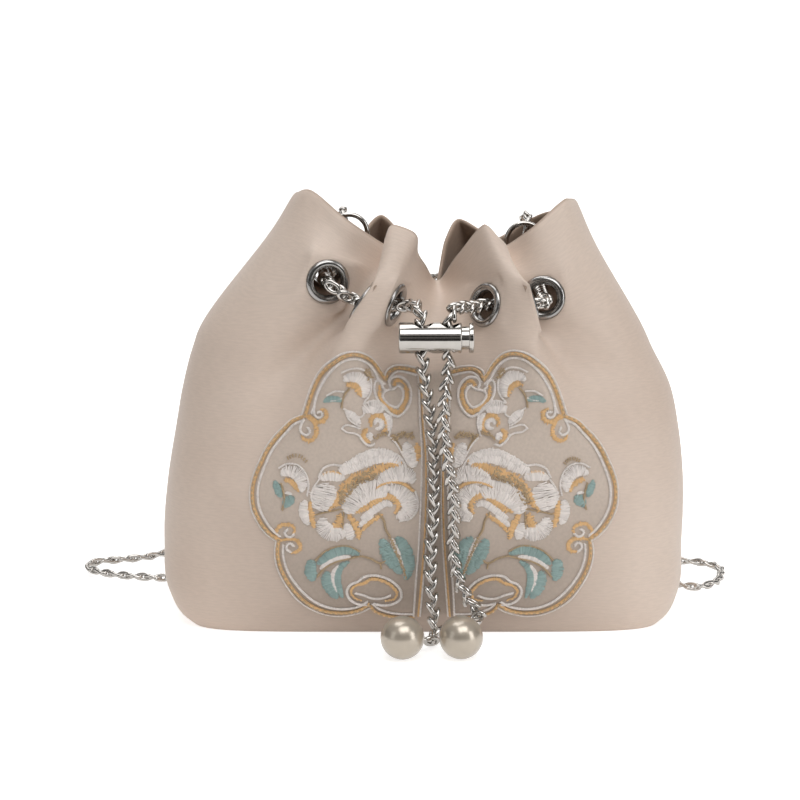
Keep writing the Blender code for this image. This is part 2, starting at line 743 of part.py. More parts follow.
def make_pearl(side, chain_end, parts, cutters, materials):
    """A pearl on the floor with an eye that is pegged into it, and the jump ring to the chain."""
    x, y = PEARL_PLACES[side]
    middle = Vector((x, y, PEARL_RADIUS + PEARL_FLOOR_GAP))
    towards = (Vector(chain_end) * MM - middle).normalized()
    upright = frame_matrix(middle, towards, (0, 0, 1))
    bm = bmesh.new()
    bmesh.ops.create_uvsphere(bm, u_segments=PEARL_SEGMENTS, v_segments=PEARL_RINGS, radius=PEARL_RADIUS)
    pearl = object_from_bmesh(f"pearl_{side}", bm, parts, materials["pearl"])
    pearl.matrix_world = upright
    drill = make_rod(
        f"pearl_{side}_drill",
        PEARL_PEG_RADIUS + GAP,
        2 * PEARL_DRILL_DEPTH,
        HOLE_SIDES,
        upright @ Matrix.Translation((0, 0, PEARL_RADIUS)),
        cutters,
    )
    hide_cutter(drill)
    add_boolean(pearl, drill)
    eye_height = PEARL_RADIUS + PEARL_EYE_RADIUS + PEARL_WIRE + GAP
    tip_turn = Matrix.Rotation(math.pi / 2, 4, "X")
    eye = make_torus(
        f"pearl_{side}_eye",
        PEARL_EYE_RADIUS,
        PEARL_WIRE,
        SMALL_RING_SIDES,
        SMALL_WIRE_SIDES,
        upright @ Matrix.Translation((0, 0, eye_height)) @ tip_turn,
        parts,
        materials["chrome"],
    )
    peg_bottom = PEARL_RADIUS - PEARL_PEG_DEPTH
    peg_top = eye_height - PEARL_EYE_RADIUS
    peg = make_rod(
        f"pearl_{side}_peg",
        PEARL_PEG_RADIUS,
        peg_top - peg_bottom,
        HOLE_SIDES,
        upright @ Matrix.Translation((0, 0, (peg_top + peg_bottom) / 2)),
        cutters,
    )
    hide_cutter(peg)
    add_boolean(eye, peg, "UNION")
    ring_height = eye_height + PEARL_EYE_RADIUS + PEARL_RING_RADIUS - 2 * PEARL_WIRE - GAP
    make_torus(
        f"pearl_{side}_jump_ring",
        PEARL_RING_RADIUS,
        PEARL_WIRE,
        SMALL_RING_SIDES,
        SMALL_WIRE_SIDES,
        upright @ Matrix.Translation((0, 0, ring_height)) @ Matrix.Rotation(math.pi / 2, 4, "Y"),
        parts,
        materials["chrome"],
    )


def tab_anchor(side, surface):
    """Where a tab ends, beside the wall's inner face at the neck's left or right side."""
    sides = {"right": surface.kinds.index("side")}
    sides["left"] = surface.kinds.index("side", sides["right"] + 1)
    wall = surface.neck[sides[side]]
    inwards = -math.copysign(BODY_WALL + TAB_WALL_CLEARANCE[side], wall[0])
    return Vector((wall[0] + inwards, TAB_Y, wall[2]))


def make_ring_and_tab(side, chain_end, surface, parts, materials):
    """A ring that stands upright inside the mouth, its cloth tab, and the strap's first link."""
    middle = Vector(RING_PLACES[side])
    facing = frame_matrix(middle, (0, -1, 0), (1, 0, 0))
    make_torus(
        f"ring_{side}",
        RING_RADIUS,
        RING_WIRE,
        RING_SIDES,
        RING_WIRE_SIDES,
        facing,
        parts,
        materials["chrome"],
    )
    anchor = tab_anchor(side, surface)
    out = Vector((anchor.x - middle.x, 0, anchor.z - middle.z)).normalized()
    hold = middle + out * RING_RADIUS
    make_tab(f"ring_tab_{side}", hold, anchor, parts, materials["tab_cloth"])
    towards = (Vector(chain_end) * MM - middle).normalized()
    link_middle = middle + towards * (RING_RADIUS + END_LINK_RADIUS - RING_WIRE - 2 * END_LINK_WIRE)
    across = Vector((0, -1, 0)).cross(towards)
    make_torus(
        f"strap_end_link_{side}",
        END_LINK_RADIUS,
        END_LINK_WIRE,
        END_LINK_SIDES,
        RING_WIRE_SIDES,
        frame_matrix(link_middle, across, towards),
        parts,
        materials["chrome"],
    )


def make_tab(name, hold, anchor, parts, material):
    """A strap of cloth folded round the ring's wire, with both its layers stitched together."""
    away = (anchor - hold).normalized()
    along_wire = Vector((0, -1, 0)).cross(away).normalized()
    ring_bow = RING_RADIUS - math.sqrt(RING_RADIUS**2 - (TAB_WIDTH / 2) ** 2)
    inner = RING_WIRE + GAP + ring_bow
    outer = inner + TAB_LAYER
    start = math.acos(min(1.0, TAB_LAYER / outer))
    outline = []
    for step in range(TAB_BEND_STEPS + 1):
        angle = start + (FULL_TURN - 2 * start) * step / TAB_BEND_STEPS
        outline.append((outer * math.cos(angle), outer * math.sin(angle)))
    reach = (anchor - hold).length
    outline.append((reach, -TAB_LAYER))
    outline.append((reach, TAB_LAYER))
    curve = bpy.data.curves.new(name, "CURVE")
    curve.dimensions = "2D"
    curve.fill_mode = "BOTH"
    curve.extrude = TAB_WIDTH / 2
    add_outline(curve, outline)
    turns = [FULL_TURN * step / HOLE_SIDES for step in range(HOLE_SIDES)]
    ring_hole = [(inner * math.cos(turn), -inner * math.sin(turn)) for turn in turns]
    add_outline(curve, ring_hole)
    tab = new_object(name, curve, parts, material)
    rotation = Matrix((away, along_wire.cross(away), along_wire)).transposed().to_4x4()
    tab.matrix_world = Matrix.Translation(hold) @ rotation


def add_outline(curve, outline):
    """A closed straight-sided spline in a flat curve."""
    spline = curve.splines.new("POLY")
    spline.points.add(len(outline) - 1)
    for target, (x, y) in zip(spline.points, outline):
        target.co = (x, y, 0.0, 1.0)
    spline.use_cyclic_u = True


def build():
    """Model every piece."""
    clear_scene()
    parts = new_collection(COLLECTION_NAME)
    cutters = new_collection(CUTTER_COLLECTION_NAME)
    materials = make_materials()
    surface = BodySurface()
    make_body(surface, parts, cutters, materials["satin"])
    make_eyelets(surface, parts, materials["chrome"])
    make_lock(parts, cutters, materials["chrome"])
    make_tube("drawstring", DRAWSTRING_ROUTE, STRING_PITCH, STRING_RADIUS, parts, materials["chrome"])
    make_tube("shoulder_strap", STRAP_ROUTE, STRAP_PITCH, STRAP_RADIUS, parts, materials["chrome"])
    for side, end in (("left", 0), ("right", -1)):
        make_pearl(side, DRAWSTRING_ROUTE[end], parts, cutters, materials)
        make_ring_and_tab(side, STRAP_ROUTE[end], surface, parts, materials)


build()
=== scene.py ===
"""Looks of a small drawstring bucket bag: gathered satin, embroidered front, chains, lock and pearls.

Metres, +Z up, the front towards -Y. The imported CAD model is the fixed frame.
"""

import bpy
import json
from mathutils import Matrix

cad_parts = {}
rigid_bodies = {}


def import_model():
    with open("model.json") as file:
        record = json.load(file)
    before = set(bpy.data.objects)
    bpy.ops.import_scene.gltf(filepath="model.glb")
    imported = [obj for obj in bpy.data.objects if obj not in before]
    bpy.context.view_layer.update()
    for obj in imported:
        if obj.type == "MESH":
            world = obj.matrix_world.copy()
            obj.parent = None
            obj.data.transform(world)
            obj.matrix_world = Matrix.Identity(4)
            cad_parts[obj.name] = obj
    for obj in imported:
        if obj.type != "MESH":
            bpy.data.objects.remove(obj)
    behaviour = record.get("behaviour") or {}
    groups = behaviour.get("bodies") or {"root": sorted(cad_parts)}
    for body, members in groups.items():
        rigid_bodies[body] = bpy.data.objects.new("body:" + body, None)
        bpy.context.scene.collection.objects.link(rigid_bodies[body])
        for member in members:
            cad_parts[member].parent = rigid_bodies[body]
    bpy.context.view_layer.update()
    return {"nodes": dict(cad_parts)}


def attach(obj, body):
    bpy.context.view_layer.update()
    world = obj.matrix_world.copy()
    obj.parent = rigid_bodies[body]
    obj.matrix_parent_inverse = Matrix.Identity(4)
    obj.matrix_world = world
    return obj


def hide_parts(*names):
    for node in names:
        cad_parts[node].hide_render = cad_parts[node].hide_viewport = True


bl_info = {
    "name": "Embroidered Drawstring Bag",
    "version": (1, 0, 0),
    "blender": (4, 5, 0),
    "location": "View3D > Sidebar > Drawstring Bag",
    "description": "Builds the looks of a satin drawstring bag around its CAD frame",
    "category": "Object",
}

import json
import math

import bpy
import numpy as np
from bpy.props import FloatProperty, FloatVectorProperty, IntProperty, PointerProperty
from mathutils import Matrix, Vector
from mathutils.bvhtree import BVHTree

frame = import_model()

MM = 0.001
FULL_TURN = 2 * math.pi
QUARTER_TURN = math.pi / 2
WHITE = (1.0, 1.0, 1.0)
TINY = 1e-6
FAR = 1e9

# Gap that touching pieces keep
GAP = 0.3 * MM

# Cloth body
BODY_HALF_WIDTH = 105.5 * MM
BODY_HALF_DEPTH = 58.0 * MM
BODY_HEIGHT = 171.0 * MM
BODY_WALL = 1.8 * MM
NECK_CLOTH = 27.0 * MM
NECK_BAND_HALF_WIDTH = 72.0 * MM
NECK_BAND_HALF_DEPTH = 46.0 * MM
NECK_BAND_SHIFT = 2.0 * MM
NECK_SQUARENESS = 2.5
FOLD_LIFT_SHARE = 0.4
SECTION_SAMPLES = 1441

# Each row is a section round the body below the eyelets. Height, cloth, width, depth and shift
# are shares of the body's height, height, half width, half depth and half width. Cloth is the way
# up along the wall, and fold is how much of the neck's folds shows.
# height, cloth, width, depth, shift, squareness, fold
SECTIONS = (
    (0.000, 0.000, 0.895, 0.800, 0.008, 6.5, 0.00),
    (0.020, 0.030, 0.936, 0.855, 0.006, 5.6, 0.00),
    (0.075, 0.090, 0.984, 0.935, 0.002, 4.4, 0.00),
    (0.180, 0.200, 1.000, 0.985, 0.000, 3.4, 0.00),
    (0.330, 0.350, 0.992, 1.000, 0.010, 3.2, 0.00),
    (0.450, 0.470, 0.966, 0.985, 0.016, 3.0, 0.04),
    (0.545, 0.570, 0.935, 0.945, 0.012, 2.9, 0.22),
    (0.625, 0.660, 0.884, 0.890, -0.005, 2.7, 0.50),
    (0.695, 0.740, 0.832, 0.845, -0.008, 2.6, 0.80),
)
NECK_CLOTH_START = 0.825

# Each row is a fold or an eyelet round the neck, from the front's middle towards +X. The first
# three places are at the eyelets' height and the others at the rim, as shares of the body's half
# width, half depth and height.
# kind, x, y, z, rim x, rim y, rim z
FOLDS = (
    ("middle", 0.033, -0.517, 0.713, 0.043, -0.224, 0.794),
    ("eyelet", 0.224, -0.724, 0.758, 0.133, -0.457, 0.863),
    ("flank", 0.303, -0.897, 0.763, 0.223, -0.681, 0.934),
    ("ridge", 0.384, -0.983, 0.766, 0.280, -0.621, 0.906),
    ("eyelet", 0.382, -0.793, 0.760, 0.308, -0.474, 0.886),
    ("valley", 0.341, -0.543, 0.766, 0.313, -0.345, 0.877),
    ("eyelet", 0.443, -0.569, 0.768, 0.408, -0.448, 0.921),
    ("flank", 0.578, -0.578, 0.795, 0.517, -0.328, 0.974),
    ("flank", 0.673, -0.345, 0.822, 0.567, -0.155, 0.979),
    ("side", 0.695, 0.034, 0.836, 0.592, 0.052, 0.964),
    ("flank", 0.659, 0.362, 0.825, 0.550, 0.241, 0.944),
    ("flank", 0.569, 0.569, 0.801, 0.474, 0.379, 0.930),
    ("eyelet", 0.441, 0.603, 0.778, 0.389, 0.448, 0.901),
    ("valley", 0.346, 0.500, 0.766, 0.294, 0.345, 0.871),
    ("eyelet", 0.318, 0.759, 0.760, 0.242, 0.534, 0.883),
    ("ridge", 0.227, 0.948, 0.766, 0.144, 0.629, 0.909),
    ("eyelet", 0.147, 0.759, 0.757, 0.091, 0.491, 0.865),
    ("middle", 0.028, 0.500, 0.713, 0.038, 0.241, 0.757),
    ("eyelet", -0.100, 0.759, 0.757, -0.057, 0.483, 0.854),
    ("ridge", -0.190, 0.948, 0.766, -0.156, 0.629, 0.918),
    ("eyelet", -0.265, 0.759, 0.763, -0.223, 0.552, 0.892),
    ("valley", -0.289, 0.500, 0.772, -0.232, 0.362, 0.865),
    ("eyelet", -0.384, 0.621, 0.789, -0.322, 0.431, 0.909),
    ("flank", -0.512, 0.603, 0.813, -0.398, 0.310, 0.947),
    ("flank", -0.607, 0.379, 0.836, -0.460, 0.181, 0.971),
    ("side", -0.645, 0.034, 0.854, -0.498, 0.034, 0.982),
    ("flank", -0.626, -0.345, 0.836, -0.482, -0.155, 0.995),
    ("flank", -0.512, -0.612, 0.822, -0.417, -0.345, 1.000),
    ("eyelet", -0.354, -0.655, 0.808, -0.294, -0.517, 0.944),
    ("valley", -0.209, -0.509, 0.772, -0.118, -0.379, 0.868),
    ("eyelet", -0.222, -0.784, 0.766, -0.133, -0.560, 0.906),
    ("ridge", -0.229, -0.991, 0.772, -0.114, -0.724, 0.936),
    ("flank", -0.161, -1.000, 0.772, -0.042, -0.716, 0.920),
    ("eyelet", -0.106, -0.776, 0.760, -0.021, -0.517, 0.864),
    ("flank", -0.057, -0.586, 0.746, 0.009, -0.379, 0.830),
)

# Eyelets
EYELET_RADIUS = 8.75 * MM
EYELET_SIDES = 48
EYELET_FLAT_MARGIN = 0.6 * MM
EYELET_FLAT = EYELET_RADIUS + EYELET_FLAT_MARGIN
EYELET_FLAT_BLEND = 4.0 * MM
EYELET_TILT_REACH = 5.5 * MM

# Eyelet from its outer edge round the flange's back, down the throat and up again: radius and
# height, in millimetres
EYELET_PROFILE = (
    (8.75, 0.05),
    (7.6, 0.05),
    (6.6, 0.0),
    (6.6, -2.1),
    (7.8, -2.12),
    (7.8, -2.5),
    (7.2, -2.85),
    (6.4, -2.9),
    (5.75, -2.7),
    (5.45, -2.2),
    (5.4, -1.5),
    (5.45, -0.7),
    (5.6, 0.1),
    (5.9, 0.7),
    (6.3, 1.1),
    (6.9, 1.32),
    (7.6, 1.28),
    (8.2, 1.05),
    (8.6, 0.55),
)

# Drawstring and cord lock
STRING_RADIUS = 3.0 * MM
LOCK_LEFT = -9.8 * MM
LOCK_BARREL_LENGTH = 24.0 * MM
LOCK_RADIUS = 5.9 * MM
LOCK_WALL = 1.2 * MM
LOCK_Y = -60.0 * MM
LOCK_Z = 119.3 * MM
LOCK_HOLE_PLACES = (-0.5 * MM, 9.9 * MM)
LOCK_STRING_PLACES = (-0.9 * MM, 9.4 * MM)
LOCK_HOLE_RADIUS = 4.1 * MM
LOCK_TRAVEL = 1.5 * MM
LOCK_CUT = 10.0 * MM
LOCK_EDGE = 0.7 * MM
LOCK_LIP = 0.2 * MM
LOCK_LIP_DEPTH = 0.3 * MM
LOCK_SIDES = 72
LOCK_HOLE_SIDES = 48
SHARP_ANGLE = math.radians(40)
LOCK_SPRING_ROOM = 3.0 * MM
PLUNGER_NECK = 2.7 * MM
PLUNGER_CAP = 1.9 * MM
PLUNGER_CAP_RADIUS = 5.7 * MM
PLUNGER_EDGE = 0.45 * MM
PLUNGER_SLOT_CLEARANCE = 0.3 * MM

# Unit box for the plunger's slots
BOX_CORNERS = (
    (-1, -1, -1), (1, -1, -1), (1, 1, -1), (-1, 1, -1), (-1, -1, 1), (1, -1, 1), (1, 1, 1), (-1, 1, 1),
)
BOX_FACES = ((0, 3, 2, 1), (4, 5, 6, 7), (0, 1, 5, 4), (1, 2, 6, 5), (2, 3, 7, 6), (3, 0, 4, 7))

# Pearls at the drawstring's ends
PEARL_RADIUS = 8.3 * MM
PEARL_EYE_RADIUS = 1.7 * MM
PEARL_WIRE = 0.55 * MM
PEARL_RING_RADIUS = 2.3 * MM
PEARL_STEPS = 32
PEARL_SIDES = 64
PEARL_DIMPLE = 0.055
PEARL_DIMPLE_RADIUS = 0.85 * MM
PEARL_PEG = ((0.0, 0.9), (0.8, 0.8), (1.9, 0.1), (1.9, -0.35), (0.0, -0.4))
PEARL_FLOOR_GAP = 0.05 * MM
PEARL_PLACES = {
    "left": (-8.4 * MM, -84.2 * MM),
    "right": (13.8 * MM, -83.8 * MM),
}

# Rings and tabs inside the mouth
RING_RADIUS = 7.3 * MM
RING_WIRE = 1.0 * MM
RING_PLACES = {
    "left": (-30.0 * MM, 8.0 * MM, 153.0 * MM),
    "right": (41.5 * MM, 8.0 * MM, 149.5 * MM),
}
TAB_WIDTH = 5.0 * MM
TAB_LAYER = 1.1 * MM
TAB_BEND_STEPS = 28
TAB_SIDE_STEPS = 12
TAB_EDGE = 0.2 * MM
TAB_WALL_CLEARANCE = {"left": 4.0 * MM, "right": 3.1 * MM}
TAB_Y = 5.0 * MM

# Shoulder strap
END_LINK_RADIUS = 3.6 * MM
END_LINK_WIRE = 0.9 * MM

# Routes of the two chains, each from its left end to its right end, in millimetres.
DRAWSTRING_ROUTE = (
    (2.3, -71.9, 4.0), (4.4, -67.8, 4.4), (4.2, -65.0, 8.6), (3.1, -63.8, 16.0), (2.5, -62.8, 28.0),
    (2.7, -62.4, 40.0), (3.5, -62.3, 51.0), (3.6, -62.2, 66.0), (3.4, -61.9, 78.0), (2.4, -61.5, 88.0),
    (0.9, -61.0, 97.5), (-0.5, -60.3, 107.0), (-0.9, -60.0, 114.0), (-0.9, -60.0, 124.0),
    (-1.9, -57.8, 129.2), (-7.5, -47.2, 130.2), (-11.2, -45.0, 130.0), (-18.0, -44.8, 130.2),
    (-23.6, -45.8, 131.0), (-29.6, -46.0, 133.4), (-35.2, -43.6, 137.0), (-37.3, -38.0, 138.1),
    (-38.6, -30.0, 138.0), (-39.0, 0.0, 135.5), (-40.6, 29.0, 135.0), (-40.3, 36.0, 135.0),
    (-37.0, 42.0, 133.5), (-32.5, 44.6, 131.5), (-28.0, 44.0, 130.5), (-20.5, 42.0, 130.0),
    (-14.0, 41.4, 129.6), (-10.5, 44.0, 129.5), (-5.5, 48.4, 129.2), (3.0, 50.0, 129.0),
    (11.0, 48.4, 129.2), (15.5, 44.0, 129.5), (19.5, 41.4, 129.6), (26.0, 42.0, 130.0),
    (33.5, 44.0, 130.0), (38.5, 44.6, 131.0), (43.5, 41.5, 132.5), (46.5, 35.0, 133.0),
    (46.8, 28.0, 133.0), (47.0, 0.0, 132.0), (46.7, -26.0, 131.3), (46.7, -33.0, 131.3),
    (47.2, -39.0, 131.2), (45.6, -44.6, 130.4), (40.3, -46.6, 130.0), (34.4, -44.6, 130.0),
    (28.6, -39.8, 129.8), (23.6, -42.0, 129.6), (19.0, -48.0, 129.4), (10.8, -58.0, 128.8),
    (9.4, -60.0, 124.0), (9.4, -60.0, 114.0), (9.2, -61.3, 108.0), (8.1, -64.4, 99.5),
    (7.3, -66.2, 89.0), (7.9, -66.7, 79.0), (9.2, -66.2, 70.0), (10.9, -65.0, 60.0), (11.4, -63.7, 50.0),
    (11.1, -63.0, 40.0), (12.1, -62.8, 30.0), (14.4, -62.9, 22.5), (17.5, -63.2, 17.0),
    (20.0, -63.9, 13.9), (21.2, -65.7, 12.7), (20.6, -69.2, 12.3),
)
STRAP_ROUTE = (
    (-32.9, 19.6, 161.2), (-33.4, 24.6, 160.0), (-34.6, 31.5, 155.6), (-37.4, 41.5, 146.5),
    (-39.5, 53.0, 133.0), (-41.5, 60.0, 118.0), (-44.0, 65.0, 90.0), (-49.0, 68.0, 50.0),
    (-56.0, 71.0, 17.0), (-63.0, 72.5, 7.2), (-74.0, 73.0, 3.6), (-88.0, 66.0, 3.4), (-101.0, 54.0, 3.4),
    (-105.5, 38.0, 3.4), (-108.5, 27.0, 3.4), (-118.0, 28.0, 3.4), (-129.6, 31.4, 3.4),
    (-139.5, 37.4, 3.4), (-145.5, 46.5, 3.4), (-142.0, 55.0, 3.4), (-132.9, 58.8, 3.4),
    (-121.0, 64.0, 3.4), (-112.0, 74.0, 3.4), (-96.0, 84.0, 3.4), (-72.0, 90.0, 3.4), (-40.0, 86.0, 3.4),
    (-5.0, 94.0, 3.4), (34.0, 88.0, 3.4), (64.0, 92.0, 3.4), (90.0, 82.0, 3.4), (104.0, 66.0, 3.4),
    (113.5, 57.4, 3.4), (122.5, 54.0, 3.4), (129.0, 46.0, 3.4), (128.6, 32.0, 3.4), (124.0, 18.5, 3.4),
    (115.5, 11.0, 3.4), (108.6, 16.5, 3.4), (106.5, 30.0, 3.4), (104.0, 46.0, 3.4), (94.0, 60.0, 3.4),
    (77.0, 70.0, 3.6), (67.0, 70.5, 7.2), (60.0, 70.0, 17.0), (54.0, 68.0, 50.0), (50.0, 65.5, 90.0),
    (47.0, 60.0, 118.0), (44.5, 53.0, 133.0), (42.8, 41.5, 146.5), (41.6, 31.5, 155.0),
    (42.6, 25.0, 158.8), (43.5, 19.2, 158.5),
)

# Sizes of what only the looks have
HOLE_RADIUS = 7.0 * MM
HOLE_MARGIN = 0.2 * MM
BASE_RISE = 0.3 * MM
BASE_RINGS = (0.97, 0.85, 0.6, 0.3)
RIM_ROLL = ((0.15, 0.55), (0.5, 0.75), (0.85, 0.55))
ORNAMENT_MIDDLE = 4.0 * MM
THREAD_RAY_START = -0.3
LONG_STITCH = 4.6 * MM
STITCH_LEAN = 0.04
STITCH_ARCH = 0.55 * MM
STITCH_OVERLAP = 0.06
THINNEST_END = 0.28
KNOT_HALF = 0.55 * MM
LINE_FINENESS = 24
ROUTE_FINENESS = 20
THREAD_STEP = {"fill": 0.9, "cord": 1.25, "open": 0.82, "knots": 1.1, "rays": 2.0, "dashes": 4.2}
THREAD_LIFT = {"open": 0.05, "fill": 0.12, "cord": 0.16, "knots": 0.5, "rays": 0.2, "dashes": 0.75}
RAGGED_ENDS = {"white": 0.06, "peach": 0.24, "teal": 0.09, "taupe": 0.06}
DASHED_ROWS = ("top lobe", "heart approach", "left lobe", "bottom lobe", "bottom centre")
DASH_HALF = 0.55 * MM
PANEL_FRONT_Y = -20.0 * MM
PANEL_EDGE = ("top lobe", "left lobe", "bottom lobe")
PANEL_CORNER_LOW = (4.0, 8.0)
PANEL_CORNER_HIGH = (4.0, 104.0)
STRING_LINK_HALF_LENGTH = 3.1 * MM
STRING_LINK_HALF_DEPTH = 1.7 * MM
STRING_LINK_OFFSET = 0.7 * MM
STRING_LINK_LEAN = math.radians(27)
STRING_LINK_ROLL = math.radians(12)
STRAND_MIDDLE = 60.0 * MM
SOFT_REACH = 12.0 * MM
SOFT_ROUNDS = 30
SOFT_MARGIN = 0.2 * MM
SOFT_BLEND = 1.5 * MM
# Painted shade low in the middle of the front and back: its height, the width where it starts to fade,
# the width where it ends, and its darkest colour
PAINTED_SHADE_HEIGHT = 60.0 * MM
PAINTED_SHADE_INNER_WIDTH = 20.0 * MM
PAINTED_SHADE_OUTER_WIDTH = 85.0 * MM
PAINTED_SHADE_COLOUR = (0.56, 0.53, 0.51)
STRAP_LINK_HALF_LENGTH = 3.3 * MM
STRAP_LINK_HALF_WIDTH = 1.1 * MM
STRAP_LINK_TWIST = 0.5 * MM
STRAP_LINK_ROLL = math.radians(15)
STRAP_LIES_TO = 5.0 * MM
STRAP_LIFTS_OVER = 15.0 * MM
STRAP_HANGS_TO = 125.0 * MM
STRAP_TURNS_OVER = 25.0 * MM

# Each lamp: name, place, what it faces, width and height, and power
LAMPS = (
    ("key", (0.2, -0.75, 1.15), (0.0, 0.0, 0.06), (1.1, 0.7), 10.5),
    ("right_fill", (1.15, -0.75, 0.45), (0.0, 0.0, 0.08), (0.5, 0.9), 5.6),
    ("left_fill", (-1.1, -0.9, 0.5), (0.0, 0.0, 0.08), (0.5, 0.9), 1.6),
    ("top", (-0.2, 0.2, 1.2), (0.0, 0.0, 0.0), (0.9, 0.7), 6.0),
    ("back_wash", (0.0, 1.0, 1.3), (0.0, 1.6, 0.1), (2.4, 1.0), 14.0),
)

# Floor and camera
FLOOR_HALF_WIDTH = 1.6
FLOOR_FRONT = -0.5
FLOOR_BACK = 1.6
FLOOR_CURVE = 0.6
FLOOR_TOP = 3.0
FLOOR_STEPS = 16
CLIP_START = 0.05

# The studio's white behind the bag, and the tint of its bands
BACKDROP = (5.0, 5.0, 5.0, 1.0)
STUDIO_TINT = (1.0, 0.97, 0.94)

# Place between straight down and straight up, and brightness, of the studio's bands
STUDIO_BANDS = (
    (0.0, 0.18),
    (0.46, 0.18),
    (0.475, 0.03),
    (0.525, 0.03),
    (0.54, 0.5),
    (0.62, 0.5),
    (0.635, 0.05),
    (0.70, 0.05),
    (0.715, 0.9),
    (1.0, 0.9),
)

# Each row is a soft wave in the cloth: share round it from the front's middle, height as a share
# of the body's, length and width in millimetres, lean and rise in millimetres.
WRINKLES = (
    (0.90, 0.62, 26.0, 6.0, 0.6, -1.0),
    (0.86, 0.55, 30.0, 8.0, 0.8, 0.7),
    (0.10, 0.62, 26.0, 6.0, -0.6, -0.9),
    (0.14, 0.55, 30.0, 8.0, -0.8, 0.7),
)

